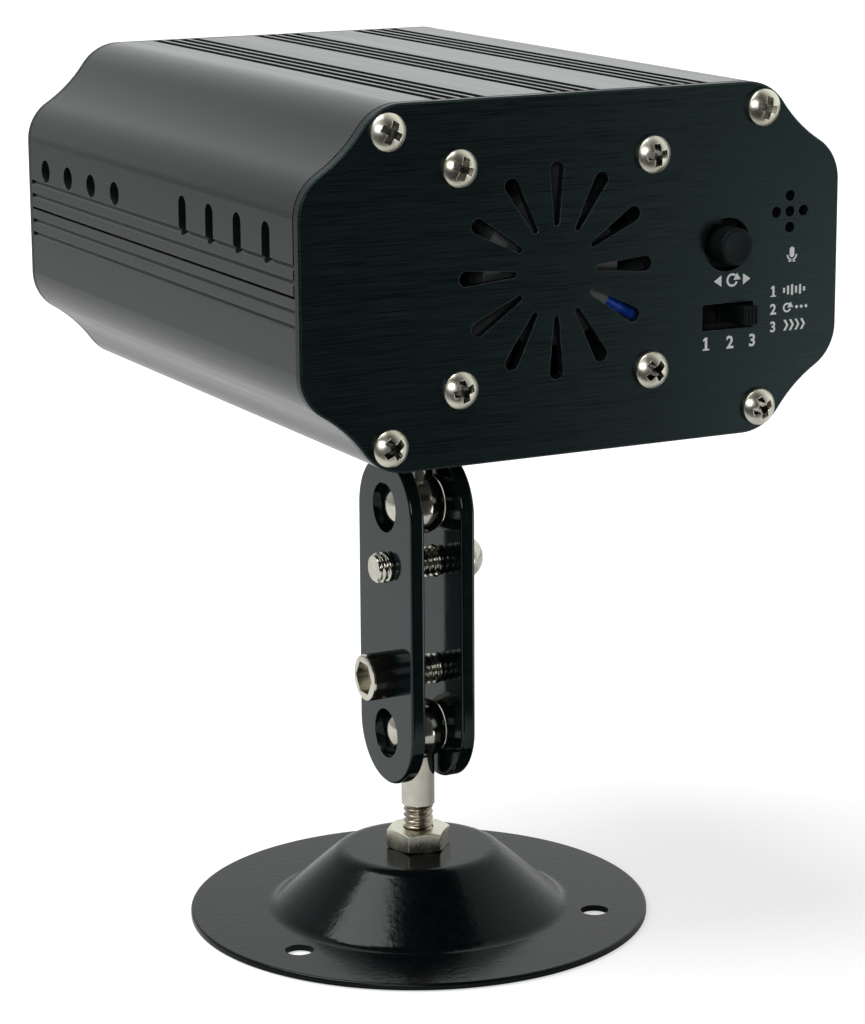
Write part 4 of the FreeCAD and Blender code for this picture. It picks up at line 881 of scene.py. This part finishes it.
print_bar(mic_x, mic_z - foot_drop, mic_z - post_top, post_width)
print_bar(mic_x, mic_z - foot_drop, mic_z - foot_top, foot_width)
piece("printed_marks", marks, ink, "housing", "white_plastic")


# Panel screws
# Twelve pan-head machine screws with cross recesses: four in each panel's corners and four for the fan.
# Cold-headed steel, nickel plated, with shade painted into the recess, each left at the turn its thread
# stopped at.

def screw_tree():
    """A cross-recessed pan head with its shank, set on each place along its axis and turned by its turn."""
    takes = {
        "Places": "Geometry", "Head radius": "Float", "Head height": "Float", "Head edge": "Float",
        "Shank radius": "Float", "Shank length": "Float", "Recess span": "Float", "Recess width": "Float",
        "Recess depth": "Float", "Finish": "Material",
    }
    gives = {"Screws": "Geometry"}
    tree, given, result = new_group("cross_recess_screws", "GeometryNodeTree", takes, gives)
    size = given.outputs
    around, rings, shank_sides = 64, 48, 32
    drill_mouth, drill_tip, drill_sink = 0.36, 0.2, 1.15
    blank_share, shank_share = 1.2, -0.49

    def raised(shape, height):
        """A shape moved up its axis."""
        up = add(tree, "ShaderNodeCombineXYZ", {2: height}).outputs[0]
        return add(tree, "GeometryNodeTransform", {"Geometry": shape, "Translation": up}).outputs[0]

    def bar(across, along):
        """One arm of the cross that cuts the recess."""
        sides = {0: across, 1: along, 2: calc(tree, "MULTIPLY", size["Recess depth"], 2.0)}
        extent = add(tree, "ShaderNodeCombineXYZ", sides).outputs[0]
        shape = add(tree, "GeometryNodeMeshCube", {"Size": extent}).outputs["Mesh"]
        return raised(shape, size["Head height"])

    rise = calc(tree, "SUBTRACT", size["Head height"], size["Head edge"])
    across, up = calc(tree, "POWER", size["Head radius"], 2.0), calc(tree, "POWER", rise, 2.0)
    ball = calc(tree, "DIVIDE", calc(tree, "ADD", across, up), calc(tree, "MULTIPLY", rise, 2.0))
    round_ball = {"Segments": around, "Rings": rings, "Radius": ball}
    sphere = add(tree, "GeometryNodeMeshUVSphere", round_ball).outputs["Mesh"]
    crown = raised(sphere, calc(tree, "SUBTRACT", size["Head height"], ball))
    thick = calc(tree, "MULTIPLY", size["Head height"], blank_share)
    blank = {"Vertices": around, "Radius": size["Head radius"], "Depth": thick}
    disc = add(tree, "GeometryNodeMeshCylinder", blank).outputs["Mesh"]
    disc = raised(disc, calc(tree, "MULTIPLY", size["Head height"], blank_share / 2))
    head = add(tree, "GeometryNodeMeshBoolean", {"Mesh 2": crown}, operation="INTERSECT", solver="EXACT")
    tree.links.new(disc, head.inputs["Mesh 2"])
    point = {
        "Vertices": 4, "Radius Top": calc(tree, "MULTIPLY", size["Recess span"], drill_mouth),
        "Radius Bottom": calc(tree, "MULTIPLY", size["Recess width"], drill_tip),
        "Depth": size["Recess depth"],
    }
    drill = add(tree, "GeometryNodeMeshCone", point).outputs["Mesh"]
    sunk = calc(tree, "MULTIPLY", size["Recess depth"], drill_sink)
    drill = raised(drill, calc(tree, "SUBTRACT", size["Head height"], sunk))
    stock = {"Mesh 1": head.outputs["Mesh"]}
    cut = add(tree, "GeometryNodeMeshBoolean", stock, operation="DIFFERENCE", solver="EXACT")
    span, width = size["Recess span"], size["Recess width"]
    for tool in (bar(span, width), bar(width, span), drill):
        tree.links.new(tool, cut.inputs["Mesh 2"])
    rod = {"Vertices": shank_sides, "Radius": size["Shank radius"], "Depth": size["Shank length"]}
    shank = add(tree, "GeometryNodeMeshCylinder", rod).outputs["Mesh"]
    shank = raised(shank, calc(tree, "MULTIPLY", size["Shank length"], shank_share))
    whole = add(tree, "GeometryNodeJoinGeometry", {"Geometry": cut.outputs["Mesh"]})
    tree.links.new(shank, whole.inputs["Geometry"])
    named = "GeometryNodeInputNamedAttribute"
    axis = add(tree, named, {"Name": "axis"}, data_type="FLOAT_VECTOR").outputs[0]
    turn = add(tree, named, {"Name": "turn"}, data_type="FLOAT").outputs[0]
    aim = add(tree, "FunctionNodeAlignRotationToVector", {"Vector": axis}, axis="Z").outputs[0]
    spin = add(tree, "FunctionNodeAxisAngleToRotation", {"Axis": (0, 0, 1), "Angle": turn}).outputs[0]
    about = {"Rotation": aim, "Rotate By": spin}
    facing = add(tree, "FunctionNodeRotateRotation", about, rotation_space="LOCAL")
    spread = {"Points": size["Places"], "Instance": whole.outputs[0], "Rotation": facing.outputs[0]}
    set_out = add(tree, "GeometryNodeInstanceOnPoints", spread).outputs[0]
    real = add(tree, "GeometryNodeRealizeInstances", {"Geometry": set_out}).outputs[0]
    coat = {"Geometry": real, "Material": size["Finish"]}
    tree.links.new(add(tree, "GeometryNodeSetMaterial", coat).outputs[0], result.inputs["Screws"])
    return tree


screw_head_radius, screw_head_height, screw_head_edge = 2.75 * mm, 1.89 * mm, 0.6 * mm
recess_span, recess_lip, foot_share = 3.3 * mm, 0.03 * mm, 0.1
screw_sizes = {
    "Head radius": screw_head_radius, "Head height": screw_head_height, "Head edge": screw_head_edge,
    "Shank radius": 1.4 * mm, "Recess span": recess_span, "Recess width": 1.1 * mm,
    "Recess depth": 1.1 * mm, "Finish": dull_nickel,
}
screws = screw_tree()
# Darker nickel in the recess: painted shade for the dark that the deep cross recess holds.
recess_painted_shade = finish(
    "painted_recess_shade", (0.09, 0.087, 0.075), (0.30, 0.29, 0.25), 0.16, 0.30, 1500,
    relief=0.004 * mm, Metallic=1.0,
)


def screw_set(name, node, face, outward, turns):
    """One screw in each corner of a CAD node's box, its head's seat on the panel's face."""
    low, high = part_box(node)
    across = (low.x + screw_head_radius, high.x - screw_head_radius)
    up = (low.z + screw_head_radius, high.z - screw_head_radius)
    seats = [Vector((x, face, z)) for x in across for z in up]
    spots = bpy.data.meshes.new(name)
    spots.from_pydata(seats, [], [])
    spots.attributes.new("axis", "FLOAT_VECTOR", "POINT")
    spots.attributes.new("turn", "FLOAT", "POINT")
    for k, turn in enumerate(turns):
        spots.attributes["axis"].data[k].vector = (0, outward, 0)
        spots.attributes["turn"].data[k].value = math.radians(turn)
    tail = high.y if outward < 0 else low.y
    sizes = dict(screw_sizes, **{"Shank length": abs(tail - face)})
    mesh = bmesh.new()
    mesh.from_mesh(grown(screws, sizes, spots))
    heads = piece(name, mesh, dull_nickel, "housing", "nickel_plate", node)
    rise = screw_head_height - screw_head_edge
    crown = (screw_head_radius ** 2 + rise ** 2) / (2 * rise)

    def in_recess(facet):
        """Whether a face lies under the crown, within the recess."""
        seat = min(seats, key=lambda spot: (spot - facet.center).length)
        height = (facet.center.y - face) * outward
        reach = math.hypot(facet.center.x - seat.x, facet.center.z - seat.z)
        sunk = math.hypot(reach, height - screw_head_height + crown) < crown - recess_lip
        return sunk and height > foot_share * screw_head_height and reach < recess_span / 2

    # The recess faces take the painted shade.
    recoat(heads, recess_painted_shade, in_recess)


front_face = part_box("front_panel")[1].y
screw_set("control_panel_screws", "rear_panel_screws", panel_face, -1, (35, 62, 20, 75))
screw_set("fan_mounting_screws", "fan_screws", panel_face, -1, (15, 70, 40, 5))
screw_set("window_panel_screws", "front_panel_screws", front_face, 1, (50, 12, 80, 33))


# Floor, light and camera
# A pale matt floor, clear from below, in a white room with soft boxes overhead and at the right and left.
# The camera stands where the photograph was taken from.

def white_to_eye(tree, plain):
    """Lift a shader towards white for the rays that come from the eye, and less off gloss and glass."""
    near, far, near_lift, far_lift, mirror_lift = 0.15, 0.9, 0.54, 1.0, 0.05
    rays = add(tree, "ShaderNodeLightPath").outputs
    mirrored = calc(tree, "MAXIMUM", rays["Is Glossy Ray"], rays["Is Transmission Ray"])
    place = add(tree, "ShaderNodeTexCoord").outputs["Object"]
    away = add(tree, "ShaderNodeVectorMath", {0: place}, operation="LENGTH").outputs["Value"]
    lift = {"Value": away, "From Min": near, "From Max": far, "To Min": near_lift, "To Max": far_lift}
    level = add(tree, "ShaderNodeMapRange", lift).outputs["Result"]
    direct = calc(tree, "MULTIPLY", rays["Is Camera Ray"], level)
    seen = calc(tree, "MAXIMUM", direct, calc(tree, "MULTIPLY", mirrored, mirror_lift))
    glow = add(tree, "ShaderNodeEmission", {"Color": (1, 1, 1, 1), "Strength": seen}).outputs[0]
    return add(tree, "ShaderNodeAddShader", {0: plain, 1: glow}).outputs[0]


floor_mesh = bpy.data.meshes.new("floor")
floor_left, floor_right, floor_near, floor_far = -2.2, 2.6, -0.11, 3.2
floor_level, floor_tone = -0.2 * mm, 0.57
near_edge = [(floor_left, floor_near, floor_level), (floor_right, floor_near, floor_level)]
far_edge = [(floor_right, floor_far, floor_level), (floor_left, floor_far, floor_level)]
floor_mesh.from_pydata(near_edge + far_edge, [], [(0, 1, 2, 3)])
floor = linked("floor", floor_mesh)
pale = bpy.data.materials.new("pale_floor")
pale.use_nodes = True
floor_tree = pale.node_tree
floor_tree.nodes.clear()
floor_colour = {"Color": (floor_tone, floor_tone, floor_tone, 1)}
matt = add(floor_tree, "ShaderNodeBsdfDiffuse", floor_colour).outputs[0]
from_below = add(floor_tree, "ShaderNodeNewGeometry").outputs["Backfacing"]
clear = add(floor_tree, "ShaderNodeBsdfTransparent").outputs[0]
sides = {0: from_below, 1: white_to_eye(floor_tree, matt), 2: clear}
both_sides = add(floor_tree, "ShaderNodeMixShader", sides).outputs[0]
add(floor_tree, "ShaderNodeOutputMaterial", {"Surface": both_sides})
floor_mesh.materials.append(pale)

eye_right = Vector((0.88524, -0.46511, -0.00411))
eye_up = Vector((0.11191, 0.20441, 0.97244))
eye_back = Vector((-0.45148, -0.86125, 0.23305))
eye_place = Vector((-0.23717, -0.46627, 0.19234))
image_width, image_height = 865, 1024
focal_pixels, middle_x, middle_y, sensor = 3307.5, 455.51, 516.53, 36.0
camera = bpy.data.cameras.new("camera")
camera.sensor_fit, camera.sensor_height, camera.sensor_width = "VERTICAL", sensor, sensor
camera.lens = focal_pixels / image_height * sensor
camera.shift_x = (image_width / 2 - middle_x) / image_height
camera.shift_y = (middle_y - image_height / 2) / image_height
eye = linked("camera", camera)
turn = Matrix((eye_right, eye_up, eye_back)).transposed().to_4x4()
eye.matrix_world = Matrix.Translation(eye_place) @ turn
bpy.context.scene.camera = eye

world = bpy.data.worlds.new("room")
world.use_nodes = True
room = world.node_tree
room.nodes.clear()
direction = add(room, "ShaderNodeTexCoord").outputs["Generated"]
behind_eye = eye_back.to_2d().to_3d().normalized()
towards = {0: direction, 1: behind_eye}
facing = add(room, "ShaderNodeVectorMath", towards, operation="DOT_PRODUCT").outputs["Value"]
fade_start, fade_end, far_wall, near_wall = -0.35, 0.55, 0.86, 0.05
levels = {
    "Value": facing, "From Min": fade_start, "From Max": fade_end, "To Min": far_wall, "To Max": near_wall,
}
depth = add(room, "ShaderNodeMapRange", levels, interpolation_type="SMOOTHSTEP").outputs["Result"]
rightward = add(room, "ShaderNodeSeparateXYZ", {0: direction}).outputs[0]
left_end, right_end, left_share, right_share = -0.6, 0.55, 0.47, 1.1
levels = {
    "Value": rightward, "From Min": left_end, "From Max": right_end, "To Min": left_share,
    "To Max": right_share,
}
depth = calc(room, "MULTIPLY", depth, add(room, "ShaderNodeMapRange", levels).outputs["Result"])
seen = add(room, "ShaderNodeLightPath").outputs["Is Camera Ray"]
colour = blend(room, seen, (0.97, 1.0, 0.98), (1, 1, 1))
wall = {"Color": colour, "Strength": calc(room, "MAXIMUM", depth, seen)}
sky = add(room, "ShaderNodeBackground", wall).outputs[0]
add(room, "ShaderNodeOutputWorld", {"Surface": sky})
bpy.context.scene.world = world


def soft_box(name, place, aim, width, watts):
    """A square lamp with its face towards a point."""
    lamp = bpy.data.lights.new(name, "AREA")
    lamp.shape, lamp.size, lamp.energy = "SQUARE", width, watts
    facing = (Vector(place) - Vector(aim)).to_track_quat("Z", "Y").to_matrix().to_4x4()
    linked(name, lamp).matrix_world = Matrix.Translation(place) @ facing


aim_point = (0, 0, 0.1)
soft_box("overhead", (-0.32, 0.05, 0.75), aim_point, 0.6, 7.2)
soft_box("right_front", (0.52, -0.58, -0.12), aim_point, 0.25, 0.9)
soft_box("left_front", (-0.65, -0.80, 0.42), aim_point, 0.45, 3.0)
bpy.context.scene.view_settings.view_transform = "Standard"
